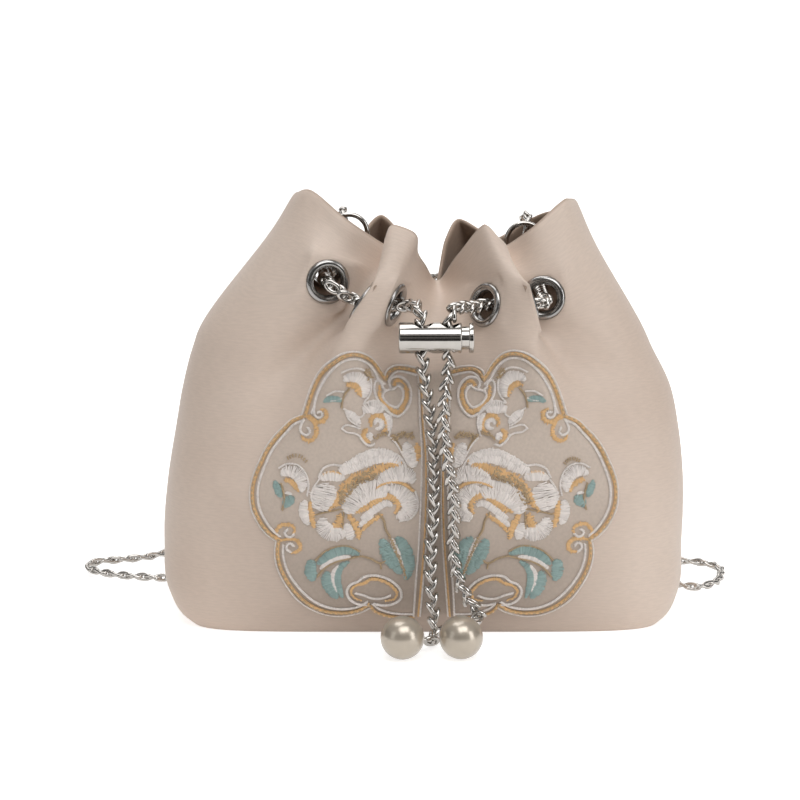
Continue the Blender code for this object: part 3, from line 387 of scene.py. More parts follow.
# Each row is one band of stitches on the left half of the front, and is mirrored to the right.
# name, thread, lay, half width, then x and z in turn of its line's places in the
# front view, all in millimetres
ORNAMENT = (
    ("top lobe", "peach", "cord", 0.7, (
        -15, 101.8, -16.4, 103.7, -18.6, 107.2, -21.5, 110.4, -24.8, 112.2, -28, 112.5, -31.3, 111.4,
        -34.3, 109.4, -37.3, 106.6, -40.2, 102.7, -42.4, 98.1, -43.9, 94.1, -45, 90.6, -45.7, 88.4,
    )),
    ("top lobe outer white", "white", "cord", 0.42, (
        -15.5, 102.5, -18.1, 107.4, -21.2, 111.2, -24.8, 113.3, -28, 113.6, -31.7, 112.6, -35, 110.4,
        -38.2, 107.2, -41.3, 103, -43.5, 98.6, -45, 94.5, -46.1, 91.1, -46.9, 88.6,
    )),
    ("top lobe inner white", "white", "cord", 0.5, (
        -15.5, 100, -17.2, 101.3, -19, 104.7, -21.9, 108.6, -24.8, 110.5, -28.1, 110.8, -31, 109.9,
        -33.9, 107.8, -36.5, 104.8, -38.8, 101.1, -40.7, 97.3, -41.8, 93.9, -42.4, 91.3, -43.2, 89.5,
    )),
    ("heart approach", "peach", "cord", 0.61, (
        -15, 101.8, -13.7, 104.2, -11.3, 105.4, -7.2, 105, -3.1, 103.9,
    )),
    ("heart approach white", "white", "cord", 0.42, (
        -15.5, 102.6, -14.6, 105, -11.6, 106.4, -7.2, 106.1, -3.1, 105.1,
    )),
    ("heart approach inner", "white", "cord", 0.42, (
        -14, 100.9, -12.4, 103.2, -10.8, 104.1, -7, 103.7, -3.1, 102.6,
    )),
    ("left lobe", "peach", "cord", 0.7, (
        -45.7, 88.1, -48.2, 87.1, -51.2, 85.4, -54.4, 82.1, -57.7, 78.4, -60.7, 74.2, -62.9, 69.5,
        -64.9, 65, -66.2, 60.5, -66.5, 56, -65.9, 51.9, -64.3, 47.8, -61.8, 44.1, -59.1, 41.2,
        -56.4, 39.6,
    )),
    ("left lobe outer white", "white", "cord", 0.33, (
        -46.9, 88.4, -51.6, 86, -54.9, 82.8, -58.5, 79.1, -61.4, 74.9, -63.9, 69.8, -66, 65, -67.2, 60.4,
        -67.5, 55.9, -67, 51.5, -65.2, 47.2, -62.7, 43.3, -59.6, 40.4, -56.9, 38.8,
    )),
    ("left lobe inner white", "white", "cord", 0.5, (
        -46.5, 86.4, -50.1, 84.6, -53, 81.5, -56.2, 77.9, -59.2, 73.5, -61.3, 69, -63, 64.7, -64.2, 60.4,
        -64.5, 56.1, -64, 52.5, -62.5, 48.7, -60.4, 45.3, -58.1, 42.6, -56.1, 40.9,
    )),
    ("bottom lobe", "peach", "cord", 0.7, (
        -56.4, 39.2, -56.9, 34.4, -56.2, 29.6, -54.3, 24.8, -51.6, 20.4, -48.1, 16.2, -43.7, 12.7,
        -38.7, 10.4, -33.4, 9.6, -28.2, 10, -24.4, 11.3, -21.5, 13.3,
    )),
    ("bottom lobe outer white", "white", "cord", 0.33, (
        -57.5, 38.2, -58, 34.2, -57.3, 29.1, -55.4, 24.2, -52.6, 19.6, -49.1, 15.1, -44.3, 11.5,
        -39.1, 9.1, -33.4, 8.2, -28.2, 8.8, -24, 10.2, -21, 11.9,
    )),
    ("bottom lobe inner white", "white", "cord", 0.5, (
        -54.6, 37.5, -54.8, 34, -54.1, 30, -52.5, 25.8, -49.9, 21.8, -46.6, 17.9, -42.7, 14.6,
        -38.2, 12.4, -33.4, 11.4, -28.5, 11.7, -24.8, 12.8, -22.1, 14.5,
    )),
    ("bottom centre", "peach", "cord", 0.61, (-21, 13, -19.2, 10.4, -15.4, 8.6, -10.2, 7.7, -4.2, 7.5)),
    ("bottom centre white", "white", "cord", 0.42, (
        -19.9, 13.6, -17.7, 11.7, -14.3, 10.2, -9.8, 9.3, -4.2, 9.1,
    )),
    ("curl 1a", "peach", "fill", 0.77, (
        -45.6, 88.4, -43.5, 87.8, -41.2, 86.1, -38.9, 86.5, -37.6, 88.3, -37.9, 90.4, -39.6, 91.2,
    )),
    ("curl 1a white", "white", "cord", 0.5, (
        -42.1, 92.1, -42.3, 89.9, -41.4, 88, -39.7, 87.9, -39, 89.1, -39.7, 90.1, -40.8, 89.8,
    )),
    ("curl 1b", "peach", "fill", 0.77, (
        -45.2, 87.7, -42.7, 86.2, -41.4, 83.8, -41.7, 80.9, -43.5, 78.9, -45.7, 78.8, -47.4, 80.5,
    )),
    ("curl 1b white", "white", "cord", 0.5, (
        -46.2, 86.8, -47.2, 84.9, -47.7, 82.7, -46.6, 81.1, -45, 80.9, -43.9, 82.2, -44.7, 83.7,
    )),
    ("curl 2a", "peach", "fill", 0.7, (
        -56.4, 39.5, -57.3, 41.7, -56.8, 44, -54.9, 45.5, -52.2, 45.7, -50.2, 44.2, -50.4, 41.9,
    )),
    ("curl 2a white", "white", "cord", 0.5, (
        -50.4, 41.9, -51.8, 40.7, -53.4, 41.1, -54, 42.6, -52.8, 43.7,
    )),
    ("curl 2b", "peach", "fill", 0.7, (
        -55.7, 39.3, -53.3, 39.9, -50.3, 39.8, -48.3, 38.3, -48.2, 36, -49.7, 34.7, -51.8, 34.7,
    )),
    ("curl 2b white", "white", "cord", 0.5, (
        -51.8, 34.7, -53.3, 35.9, -53.1, 37.6, -51.6, 38.2, -50.6, 37.2,
    )),
    ("heart outer white", "white", "cord", 0.5, (
        -15.2, 97.9, -16.1, 98.9, -16.7, 101.2, -18.6, 101.5, -19.3, 99.1, -18.4, 95.3, -16.2, 92,
        -13.1, 89.1, -10, 87.9, -7.5, 89.6, -5.4, 93.3, -5.3, 97.4, -6.9, 100.7, -9.9, 102.4, -12.7, 102,
        -13.6, 100.3, -13, 98.6,
    )),
    ("heart peach", "peach", "fill", 0.84, (
        -17.4, 99.6, -17.2, 96, -15.2, 92.9, -12.2, 90.2, -10, 89.4, -8.2, 91.4, -6.8, 94.8, -6.9, 97.9,
        -8.4, 100.4,
    )),
    ("heart peach lobe", "peach", "fill", 0.63, (-8.4, 100.4, -10.2, 101.1, -11.6, 100.4, -11.2, 98.9)),
    ("heart inner white", "white", "cord", 0.5, (
        -15.3, 97.4, -13.7, 97.8, -11.6, 98.1, -10.2, 99.1, -8.8, 98.2, -8.1, 95.6, -9.1, 92.8,
        -10.6, 91.3, -12.8, 91.9, -15.2, 94, -16.1, 95.9, -15.3, 97.4,
    )),
    ("foot ruyi white", "white", "cord", 0.5, (
        -21.7, 13.1, -26.3, 13.8, -29.4, 16.4, -30, 19.4, -28.5, 21.8, -25.7, 23, -23.6, 24.8,
        -19.1, 25.6, -15, 24.6, -11.3, 22.3, -9, 19.1, -9.1, 15.8, -11.7, 13.8, -16.2, 13.1, -19.7, 13.8,
    )),
    ("foot ruyi peach", "peach", "fill", 0.56, (
        -24.5, 15, -27.6, 16.8, -28.4, 19.2, -26.7, 21.3, -23.2, 22.4, -20.7, 24, -16.1, 23.4, -12.4, 21,
        -10.5, 18, -11.5, 15.8, -15, 15,
    )),
    ("foot ruyi inner white", "white", "cord", 0.42, (
        -26.6, 18.2, -23.6, 17.4, -19.9, 16, -16.1, 16.1, -13.2, 17.2,
    )),
    ("seam white", "white", "cord", 0.34, (
        -2.3, 102.2, -1.9, 94.7, -1.5, 84.9, -0.9, 76.3, -0.9, 66, -1.4, 51, -2.1, 35.7, -3.3, 20,
        -4, 8.3,
    )),
    ("seam peach", "peach", "cord", 0.37, (
        -1.4, 101.5, -0.9, 94.7, -0.4, 84.9, 0.5, 74.9, 0.8, 61.6, 0.5, 46.5, -0.4, 31, -1.4, 18.4,
        -2.2, 8.3,
    )),
    ("seam inner white", "white", "cord", 0.29, (
        -0.8, 94.7, -0.1, 84.9, 1, 74.9, 1.4, 61.6, 1.2, 46.5, 0.3, 31, -0.7, 18.4, -1.5, 8.3,
    )),
    ("top bud outline", "white", "cord", 0.33, (
        -31.5, 105.6, -28.5, 106.9, -24.8, 106.9, -22.1, 104.9, -20.6, 101.6, -20.5, 98.3, -21.5, 95.7,
        -23.1, 94,
    )),
    ("top bud white", "white", "fill", 2.1, (
        -30.7, 102.4, -29.1, 103.6, -26.4, 103.8, -24.1, 102.5, -22.8, 100.1, -22.7, 97.8, -23.4, 95.6,
    )),
    ("top bud peach", "peach", "fill", 1.2, (
        -29.8, 100.3, -27.8, 100.9, -25.9, 99.9, -24.8, 98.1, -24.3, 96,
    )),
    ("top bud stamens", "taupe", "knots", 0.88, (-22.8, 106, -21.6, 104.8, -20.9, 102.7)),
    ("top bud stem", "taupe", "cord", 0.37, (-28.8, 99.1, -30.3, 97.3, -31.3, 95, -31.7, 92)),
    ("top bud leaf", "teal", "fill", 1.2, (-38.4, 94.1, -36.1, 95.2, -33.6, 95.2, -31.6, 94.7)),
    ("top bud leaf white", "white", "cord", 0.33, (-37.2, 96.5, -34.2, 98.2, -31, 98.1)),
    ("top bud leaf light", "white", "cord", 0.25, (-35.7, 94.5, -33.6, 94.8, -31.7, 95.4)),
    ("middle outline", "white", "cord", 0.33, (
        -23.4, 93.3, -19.7, 94, -16.1, 92.7, -13.4, 89.4, -12.5, 85.1, -13.7, 80.8,
    )),
    ("middle top petal", "white", "fill", 2.6, (-23, 90.3, -21, 91.7, -18.6, 91.7, -16.1, 90.1)),
    ("middle right petal", "white", "fill", 1.3, (-15.3, 89.1, -13.7, 86.2, -13.7, 82.9)),
    ("middle peach ring", "peach", "fill", 0.91, (
        -20.2, 84.4, -20.5, 87.1, -18.7, 88.7, -16.1, 88, -14.4, 85.7, -14.6, 83.1, -16.3, 82,
    )),
    ("middle white ring", "white", "fill", 0.96, (
        -19, 85.2, -18.6, 86.7, -16.9, 86.6, -16.2, 85, -17.1, 83.6, -18.6, 83.6,
    )),
    ("middle taupe", "taupe", "knots", 0.59, (-19.3, 79.9, -16.9, 81.4, -14.3, 81.6)),
    ("lower peach ring", "peach", "fill", 0.91, (-21.8, 83.4, -23.3, 81.9, -22.8, 79.5, -20.9, 78.3)),
    ("lower white fill", "white", "fill", 1.3, (-21.1, 82, -20.8, 80.4, -19.7, 79.7)),
    ("lower white petal", "white", "cord", 0.5, (-24.9, 80.9, -23.4, 78.7, -21.1, 77, -19.3, 77.5)),
    ("left leaf outline a", "white", "cord", 0.33, (
        -30.7, 91.4, -28.5, 90, -25.7, 87.9, -23.4, 88.8, -23.7, 92,
    )),
    ("left leaf fill a", "white", "fill", 1.4, (-29.8, 90.5, -27.2, 88.5, -24.7, 85.6)),
    ("left leaf outline b", "white", "cord", 0.33, (-31.6, 83.7, -30.5, 84.9, -27.4, 84.6, -24.9, 83.7)),
    ("left leaf outline c", "white", "cord", 0.33, (-31.6, 83.7, -30, 82.4, -26.8, 81.8, -24.9, 80.9)),
    ("left leaf outline d", "white", "cord", 0.33, (-30.1, 90.2, -29.1, 87.6, -26.9, 85.7, -24.9, 84.6)),
    ("seam flower stem", "white", "cord", 0.42, (-12.7, 79.9, -10.5, 77.5, -8.3, 73.8, -6.1, 69.9)),
    ("seam flower white", "white", "fill", 2.5, (-7.2, 77.8, -6.1, 74.9, -5, 72, -3.8, 69)),
    ("seam flower peach", "peach", "fill", 1.1, (-2.9, 77.8, -2.5, 74.5, -2.9, 70.9)),
    ("seam flower stamens", "taupe", "knots", 1, (-12.4, 80.2, -9.6, 80.7, -6.5, 81, -3.9, 80.3)),
    ("seam flower taupe", "taupe", "cord", 0.37, (-11.6, 79.7, -10, 77.8, -8.8, 75.3)),
    ("left bud outline", "white", "cord", 0.33, (
        -56, 67.8, -53.1, 69.4, -49, 69.2, -45.9, 66.3, -44.6, 61.6, -45.2, 57.4,
    )),
    ("left bud white", "white", "fill", 2.4, (
        -55.2, 65.4, -52.3, 66.7, -49.2, 65.9, -47.3, 62.7, -47.2, 58.8,
    )),
    ("left bud peach", "peach", "fill", 1.1, (-54, 63.4, -51.6, 62.7, -49.7, 61.1, -48.3, 58.8)),
    ("left bud stamens", "taupe", "rays", 1.3, (-52.3, 71.1, -50.1, 72.1, -47.7, 71.8, -45.9, 70.2)),
    ("left bud leaf a", "teal", "fill", 1.4, (-57.7, 62.5, -56.7, 59.8, -55.5, 56.5)),
    ("left bud leaf b", "teal", "fill", 1.9, (-54, 52.9, -52.5, 54.9, -50.4, 56.5)),
    ("left bud stem", "taupe", "cord", 0.37, (-55.2, 61.7, -54.3, 58, -54, 55, -54.9, 51.5)),
    ("left bud light", "white", "fill", 0.57, (-53.7, 58, -52.4, 58.2, -51.2, 57.7)),
    ("peony back", "white", "open", 2.9, (
        -32.3, 66.9, -27.9, 69, -23.1, 71.6, -18.3, 73.1, -13.1, 72.4, -9.1, 70.1,
    )),
    ("peony top outline", "white", "cord", 0.42, (
        -40.7, 64.6, -38.9, 68, -35.4, 69.5, -31.4, 69.3, -27.9, 71.4, -23.1, 74.1, -18.4, 75.4,
        -14.3, 74.1, -10.7, 73.7, -8.3, 71.4, -6.8, 68.4,
    )),
    ("peony outline left", "white", "cord", 0.33, (
        -39.3, 65.3, -41.2, 62.8, -43, 59.8, -43.5, 56, -42.4, 53.2,
    )),
    ("peony left white", "white", "fill", 5.2, (-37.8, 62, -38.4, 58, -39.2, 54.6, -39.9, 51.7)),
    ("peony left top", "white", "fill", 1.9, (-39.9, 63.9, -37.5, 65, -33.8, 65, -30.8, 64.3)),
    ("peony left peach", "peach", "fill", 0.63, (-39.8, 64.7, -37.8, 66, -34.9, 66.5, -31.9, 65.8)),
    ("peony diagonal", "peach", "fill", 1.8, (
        -8.8, 70.5, -13.1, 69.6, -17.5, 68.1, -22, 66, -26.4, 64.4, -29.9, 61.3, -32.3, 57.7,
        -34.4, 54.2, -36.8, 51.8,
    )),
    ("peony knots", "taupe", "knots", 1.8, (
        -19, 66.5, -22.8, 64.8, -26.4, 63.2, -29.2, 60.3, -31, 57.1, -32, 54.8,
    )),
    ("peony right top", "white", "fill", 3.3, (-17.4, 62.9, -13.8, 64.8, -9.7, 66, -6, 65.3, -4, 62.9)),
    ("peony right peach line", "peach", "cord", 0.7, (
        -18.1, 60.9, -14.6, 62.6, -10.5, 62.9, -6.8, 61.6, -4.3, 59.5,
    )),
    ("peony middle", "white", "open", 4.4, (
        -29.3, 50.6, -28.3, 54, -25.5, 57.4, -21.5, 59.3, -17.4, 59.4, -14.3, 58.5,
    )),
    ("peony right white", "white", "fill", 3.1, (
        -14, 59.9, -9.6, 59.2, -6.3, 56.3, -5.3, 53.1, -6.9, 50.4, -10.5, 49.2,
    )),
    ("peony inner peach", "peach", "fill", 1.2, (
        -26.6, 51, -23.5, 52.2, -19.8, 54.8, -16.4, 57, -13.4, 57.5, -10.8, 55.7, -10, 52.9, -11.2, 50.6,
    )),
    ("peony inner white", "white", "open", 1.4, (
        -24.2, 48.5, -20.8, 50.8, -17.6, 53.1, -14.6, 54.6, -12.4, 53.6,
    )),
    ("peony lower peach", "peach", "fill", 0.84, (-24.4, 43.4, -22.3, 45.8, -19, 48.3, -16.1, 50.1)),
    ("peony lower white", "white", "open", 1.1, (-25, 45.5, -22.9, 47.5, -19.8, 49.6)),
    ("peony stem peach", "peach", "fill", 1.2, (-29.3, 50.6, -27.5, 47.5, -25.9, 44.1, -25.1, 40.3)),
    ("peony foot white", "white", "fill", 2.1, (-30, 46.4, -29.3, 43.3, -28.1, 40.3)),
    ("peony foot left", "white", "fill", 3.1, (
        -39.4, 48.5, -39.1, 45.5, -36.7, 42.8, -33, 42.4, -30.5, 43.3,
    )),
    ("peony foot peach", "peach", "fill", 1.4, (-36.6, 43.6, -34.3, 45, -32.8, 47.4, -32.4, 50.5)),
    ("peony seam", "taupe", "cord", 0.29, (
        -41.6, 49.9, -38.3, 50.8, -34.7, 51.5, -31.5, 52.1, -31.2, 47.9, -31.4, 43.3,
    )),
    ("peony far left white", "white", "fill", 1.9, (-46, 55.4, -46.6, 52.2, -46.2, 48.8, -44.9, 46)),
    ("peony far left peach", "peach", "fill", 1.1, (-44.1, 55.1, -43.8, 51.5, -43.2, 47.7, -42.6, 44.7)),
    ("peony right outline", "white", "cord", 0.33, (
        -3.4, 59.3, -2.3, 55.4, -2.8, 51.6, -5.3, 48.6, -9.4, 47.5,
    )),
    ("peony stalk", "taupe", "cord", 0.44, (-17.4, 50.5, -15.5, 47.7, -14.8, 44.2, -13.4, 41.7)),
    ("big leaf left", "teal", "fill", 2.6, (-16.1, 40.3, -15.1, 36.8, -12.4, 31.8, -8.8, 26.5)),
    ("big leaf right", "teal", "fill", 2.4, (-10.5, 41.1, -7.8, 37.6, -6.2, 32.6, -6, 27.9, -6.9, 24.3)),
    ("big leaf light", "white", "open", 1.2, (-12.5, 40.3, -10.8, 35.7, -8.5, 30.3, -6.7, 25.2)),
    ("big leaf vein", "taupe", "knots", 0.29, (-13.1, 41.1, -11.2, 36.5, -9, 31, -6.9, 24.8)),
    ("leaf a teal", "teal", "fill", 1.9, (-25.3, 34.3, -29.5, 35.8, -34.2, 35.1, -38.1, 32.9, -41, 29.9)),
    ("leaf a edge", "taupe", "cord", 0.29, (-25, 35.4, -29.5, 37.4, -34.5, 37, -39, 34.8, -42.1, 31.6)),
    ("leaf a light", "white", "open", 1.1, (-28.7, 33, -33.2, 32.5, -37.2, 30.8, -40.2, 28.2)),
    ("leaf a tip", "teal", "fill", 2.3, (-43.5, 31.6, -44.1, 27.7, -43.1, 23.4)),
    ("leaf b left", "teal", "fill", 2.1, (-37.6, 27, -37.9, 23.6, -36.4, 19.8, -33.8, 16.3)),
    ("leaf b right", "teal", "fill", 1.3, (
        -29.3, 31.1, -32.2, 29.1, -33.5, 25.3, -33.1, 20.8, -31.8, 16.4,
    )),
    ("leaf b light", "white", "open", 0.96, (-33.2, 29.4, -35.2, 26.3, -35.5, 22.7, -34.1, 18.5)),
    ("leaf stem", "taupe", "cord", 0.37, (
        -41.5, 24.9, -38.4, 28.6, -34, 31.1, -28.7, 32.5, -24.3, 33.4, -20.6, 32.4, -16.6, 30.6,
        -14.5, 32,
    )),
    ("leaf stem spur", "taupe", "cord", 0.29, (-17, 30.7, -16.6, 28.5)),
)


def hermite(values, knots, wanted):
    """Values read between knots from a smooth curve through rows, with its slopes from neighbours."""
    values = np.asarray(values, float)
    knots = np.asarray(knots, float)
    steps = np.diff(knots)
    chords = np.diff(values, axis=0) / steps[:, None]
    slopes = np.empty_like(values)
    before, after = steps[:-1, None], steps[1:, None]
    slopes[1:-1] = (after * chords[:-1] + before * chords[1:]) / (before + after)
    slopes[0] = chords[0]
    slopes[-1] = chords[-1]
    wanted = np.clip(np.asarray(wanted, float), knots[0], knots[-1])
    index = np.clip(np.searchsorted(knots, wanted, side="right") - 1, 0, len(steps) - 1)
    width = steps[index][:, None]
    t = ((wanted - knots[index]) / steps[index])[:, None]
    blend_start = 2 * t**3 - 3 * t**2 + 1
    blend_end = 3 * t**2 - 2 * t**3
    rise_start = t**3 - 2 * t**2 + t
    rise_end = t**3 - t**2
    return (
        blend_start * values[index]
        + blend_end * values[index + 1]
        + width * (rise_start * slopes[index] + rise_end * slopes[index + 1])
    )


def closed_hermite(values, knots, wanted):
    """The same for a closed loop whose knots run from 0 and whose parameter comes round at 1."""
    values = np.asarray(values, float)
    knots = np.asarray(knots, float)
    around = 3
    values = np.vstack([values[-around:], values, values[:around]])
    knots = np.concatenate([knots[-around:] - 1, knots, knots[:around] + 1])
    return hermite(values, knots, np.mod(wanted, 1.0))


def run_along(points):
    """How far along a line of points each of them is."""
    return np.concatenate([[0], np.cumsum(np.linalg.norm(np.diff(points, axis=0), axis=1))])


def even_points(points, step, fineness):
    """Even places and unit directions along a smooth curve through points."""
    points = np.asarray(points, float)
    run = run_along(points)
    fine = hermite(points, run, np.linspace(0, run[-1], fineness * len(points)))
    along = run_along(fine)
    wanted = np.linspace(0, along[-1], max(2, round(along[-1] / step) + 1))
    found = np.stack([np.interp(wanted, along, column) for column in fine.T], axis=1)
    return found, unit(np.gradient(found, axis=0))


def section_points(shares, half_width, half_depth, shift, squareness):
    """Points of a rounded section at shares of its length, from the front's middle towards +X."""
    angles = np.linspace(0, FULL_TURN, SECTION_SAMPLES)
    sine, cosine = np.sin(angles), -np.cos(angles)
    x = half_width * np.sign(sine) * np.abs(sine) ** (2 / squareness)
    y = half_depth * np.sign(cosine) * np.abs(cosine) ** (2 / squareness)
    run = np.concatenate([[0], np.cumsum(np.hypot(np.diff(x), np.diff(y)))])
    wanted = np.mod(shares, 1.0) * run[-1]
    return np.stack([np.interp(wanted, run, x) + shift, np.interp(wanted, run, y)], axis=1)


class BodySurface:
    """The outer face of the cloth body, as a place for each share round it and way up the cloth."""

    def __init__(self):
        sizes = np.array([BODY_HALF_WIDTH, BODY_HALF_DEPTH, BODY_HEIGHT])
        self.kinds = [row[0] for row in FOLDS]
        self.neck = np.array([row[1:4] for row in FOLDS]) * sizes
        self.rim = np.array([row[4:7] for row in FOLDS]) * sizes
        self.shares = self.fold_shares()
        self.cloth = [row[1] * BODY_HEIGHT for row in SECTIONS]
        self.neck_cloth = NECK_CLOTH_START * BODY_HEIGHT
        self.rim_cloth = self.neck_cloth + NECK_CLOTH
        self.length = self.neck_length()
        self.patches = []
        self.patches = [self.eyelet_patch(i) for i, kind in enumerate(self.kinds) if kind == "eyelet"]

    def neck_length(self):
        """Length of the neck's folded line."""
        closed = np.vstack([self.neck, self.neck[:1]])
        return np.linalg.norm(np.diff(closed[:, :2], axis=0), axis=1).sum()

    def fold_shares(self):
        """Where each fold is round the cloth. Each quarter of the rows takes a quarter of the cloth."""
        closed = np.vstack([self.neck, self.neck[:1]])
        run = run_along(closed[:, :2])
        sides = [i for i, kind in enumerate(self.kinds) if kind == "side"]
        front, back = [i for i, kind in enumerate(self.kinds) if kind == "middle"]
        marks = [front, sides[0], back, sides[1], len(self.kinds)]
        return np.interp(run[:-1], run[marks], [0, 0.25, 0.5, 0.75, 1.0])

    def levels(self, shares):
        """Places on every section, on the neck line and on the rim, and the cloth way of each."""
        neck = closed_hermite(self.neck, self.shares, shares)
        rim = closed_hermite(self.rim, self.shares, shares)
        band = section_points(
            shares, NECK_BAND_HALF_WIDTH, NECK_BAND_HALF_DEPTH, NECK_BAND_SHIFT, NECK_SQUARENESS
        )
        mean_height = self.neck[:, 2].mean()
        found = []
        for height, _, width, depth, shift, squareness, fold in SECTIONS:
            outline = section_points(
                shares,
                width * BODY_HALF_WIDTH,
                depth * BODY_HALF_DEPTH,
                shift * BODY_HALF_WIDTH,
                squareness,
            )
            flat = outline + fold * (neck[:, :2] - band)
            lift = height * BODY_HEIGHT + FOLD_LIFT_SHARE * fold * (neck[:, 2] - mean_height)
            found.append(np.column_stack([flat, lift]))
        return np.stack([*found, neck, rim]), [*self.cloth, self.neck_cloth, self.rim_cloth]

    def smooth_place(self, shares, ways):
        """Places before the cloth is flattened round the eyelets."""
        shares = np.atleast_1d(np.asarray(shares, float))
        ways = np.atleast_1d(np.asarray(ways, float))
        levels, cloth = self.levels(shares)
        count = len(shares)
        flat = levels.reshape(len(cloth), count * 3)
        rows, index = np.unique(ways, return_inverse=True)
        read = hermite(flat, cloth, rows).reshape(len(rows), count, 3)
        return read[index, np.arange(count)]

    def eyelet_patch(self, row):
        """Middle, outward direction and two cloth directions of an eyelet's flat patch."""
        share = self.shares[row]
        reach = EYELET_TILT_REACH
        turn = reach / self.length
        across = self.smooth_place([share - turn, share + turn], [self.neck_cloth] * 2)
        upward = self.smooth_place([share] * 2, [self.neck_cloth - reach, self.neck_cloth + reach])
        middle = Vector(self.smooth_place([share], [self.neck_cloth])[0])
        side = Vector(across[1] - across[0]).normalized()
        normal = side.cross(Vector(upward[1] - upward[0])).normalized()
        return share, middle, normal, side, normal.cross(side)

    def from_eyelet(self, share, shares, ways):
        """How far places on the cloth lie beside and above an eyelet."""
        return (np.mod(shares - share + 0.5, 1.0) - 0.5) * self.length, ways - self.neck_cloth

    def square_distance(self, share, shares, ways):
        """The larger of the two distances from an eyelet."""
        across, up = self.from_eyelet(share, shares, ways)
        return np.maximum(np.abs(across), np.abs(up))

    def place(self, shares, ways):
        """Places on the finished outer face."""
        shares = np.atleast_1d(np.asarray(shares, float))
        ways = np.atleast_1d(np.asarray(ways, float))
        found = self.smooth_place(shares, ways)
        for share, middle, _, side, upward in self.patches:
            across, up = self.from_eyelet(share, shares, ways)
            distance = self.square_distance(share, shares, ways)
            t = np.clip((EYELET_FLAT + EYELET_FLAT_BLEND - distance) / EYELET_FLAT_BLEND, 0, 1)
            weight = (t * t * (3 - 2 * t))[:, None]
            flat = np.array(middle) + across[:, None] * np.array(side) + up[:, None] * np.array(upward)
            found = found * (1 - weight) + flat * weight
        return found


def colour_setting(name, description, value):
    """A colour in a group of settings."""
    return FloatVectorProperty(name=name, description=description, default=value, subtype="COLOR")


def length_setting(name, description, value):
    """A length in a group of settings."""
    return FloatProperty(name=name, description=description, default=value, unit="LENGTH")


def number_setting(name, description, value, subtype="NONE"):
    """A number or an angle in a group of settings."""
    return FloatProperty(name=name, description=description, default=value, subtype=subtype)


class ClothProps(bpy.types.PropertyGroup):
    """Sizes and colours of the satin body."""

    columns: IntProperty(name="Columns", description="Mesh columns round the cloth", default=372, min=60)
    row_step: length_setting("Row step", "Height of a mesh row", 1.75 * MM)
    satin_light: colour_setting("Satin", "Colour of the satin", (0.74, 0.615, 0.525))
    satin_deep: colour_setting("Satin depth", "Second colour of the satin", (0.69, 0.56, 0.47))
    panel: colour_setting("Panel", "Colour of the sheer panel", (0.61, 0.515, 0.44))
    lining: colour_setting("Lining", "Colour of the lining", (0.47, 0.35, 0.27))
    tab: colour_setting("Tab cloth", "Colour of the ring tabs", (0.64, 0.50, 0.40))


class ThreadProps(bpy.types.PropertyGroup):
    """Sizes and colours of the embroidery."""

    radius: length_setting("Radius", "Radius of a thread", 0.28 * MM)
    pitch: length_setting("Pitch", "From thread to thread", 0.5 * MM)
    white: colour_setting("White", "White thread", (0.84, 0.78, 0.74))
    peach: colour_setting("Peach", "Peach thread", (0.78, 0.50, 0.235))
    teal: colour_setting("Teal", "Teal thread", (0.30, 0.42, 0.40))
    taupe: colour_setting("Taupe", "Taupe thread", (0.47, 0.34, 0.20))


class MetalProps(bpy.types.PropertyGroup):
    """Sizes and colours of the metal parts and the pearls."""

    string_link_pitch: length_setting("Drawstring pitch", "From link to link", 3.05 * MM)
    string_wire: length_setting("Drawstring wire", "Radius of a drawstring link's wire", 0.9 * MM)
    strap_link_pitch: length_setting("Strap pitch", "From link to link", 4.3 * MM)
    strap_wire: length_setting("Strap wire", "Radius of a strap link's wire", 0.78 * MM)
    silver: colour_setting("Silver", "Colour of the plated metal", (0.62, 0.595, 0.565))
    steel: colour_setting("Steel", "Colour of the eyelets", (0.43, 0.42, 0.41))
    pearl: colour_setting("Pearl", "Colour of the pearls", (0.56, 0.49, 0.40))


class StageProps(bpy.types.PropertyGroup):
    """Camera, floor and light."""

    camera_place: FloatVectorProperty(
        name="Camera",
        description="Where the camera stands",
        default=(-0.0093, -0.9, 0.24),
        subtype="TRANSLATION",
    )
    camera_tilt: number_setting("Tilt", "How far the camera looks down", math.radians(9.77), "ANGLE")
    camera_lens: number_setting("Lens", "Focal length in millimetres", 100.35)
    floor: colour_setting("Floor", "Colour of the floor", (0.72, 0.71, 0.70))
    floor_glow: number_setting("Floor glow", "Glow that the floor shows", 0.7)
    floor_bounce: number_setting("Floor bounce", "Glow that the floor throws on the bag", 0.4)
    light: number_setting("Light", "Strength of all lamps", 0.67)
    air: number_setting("Air", "Strength of the studio's own light", 0.3)


def new_object(name, data):
    """An object in the scene with its place in its data."""
    obj = bpy.data.objects.new(name, data)
    bpy.context.scene.collection.objects.link(obj)
    return obj


def new_mesh_object(name, points, faces, material=None, smooth=True):
    """A mesh object from points and faces."""
    mesh = bpy.data.meshes.new(name)
    mesh.from_pydata([tuple(point) for point in points], [], faces)
    mesh.update()
    if smooth:
        mesh.shade_smooth()
    if material is not None:
        mesh.materials.append(material)
    return new_object(name, mesh)


def add_attribute(mesh, name, values, kind="FLOAT", field="value"):
    """A value for each of a mesh's points."""
    mesh.attributes.new(name, kind, "POINT").data.foreach_set(field, values)


class Pile:
    """Collects the points and faces of several shells for one mesh."""

    def __init__(self):
        self.points = []
        self.faces = []

    def add(self, points, faces):
        """Put another shell on the pile."""
        start = len(self.points)
        self.points.extend(tuple(point) for point in points)
        self.faces.extend(tuple(start + corner for corner in face) for face in faces)

    def make(self, name, material, smooth=True):
        """The mesh object of all shells."""
        return new_mesh_object(name, self.points, self.faces, material, smooth)


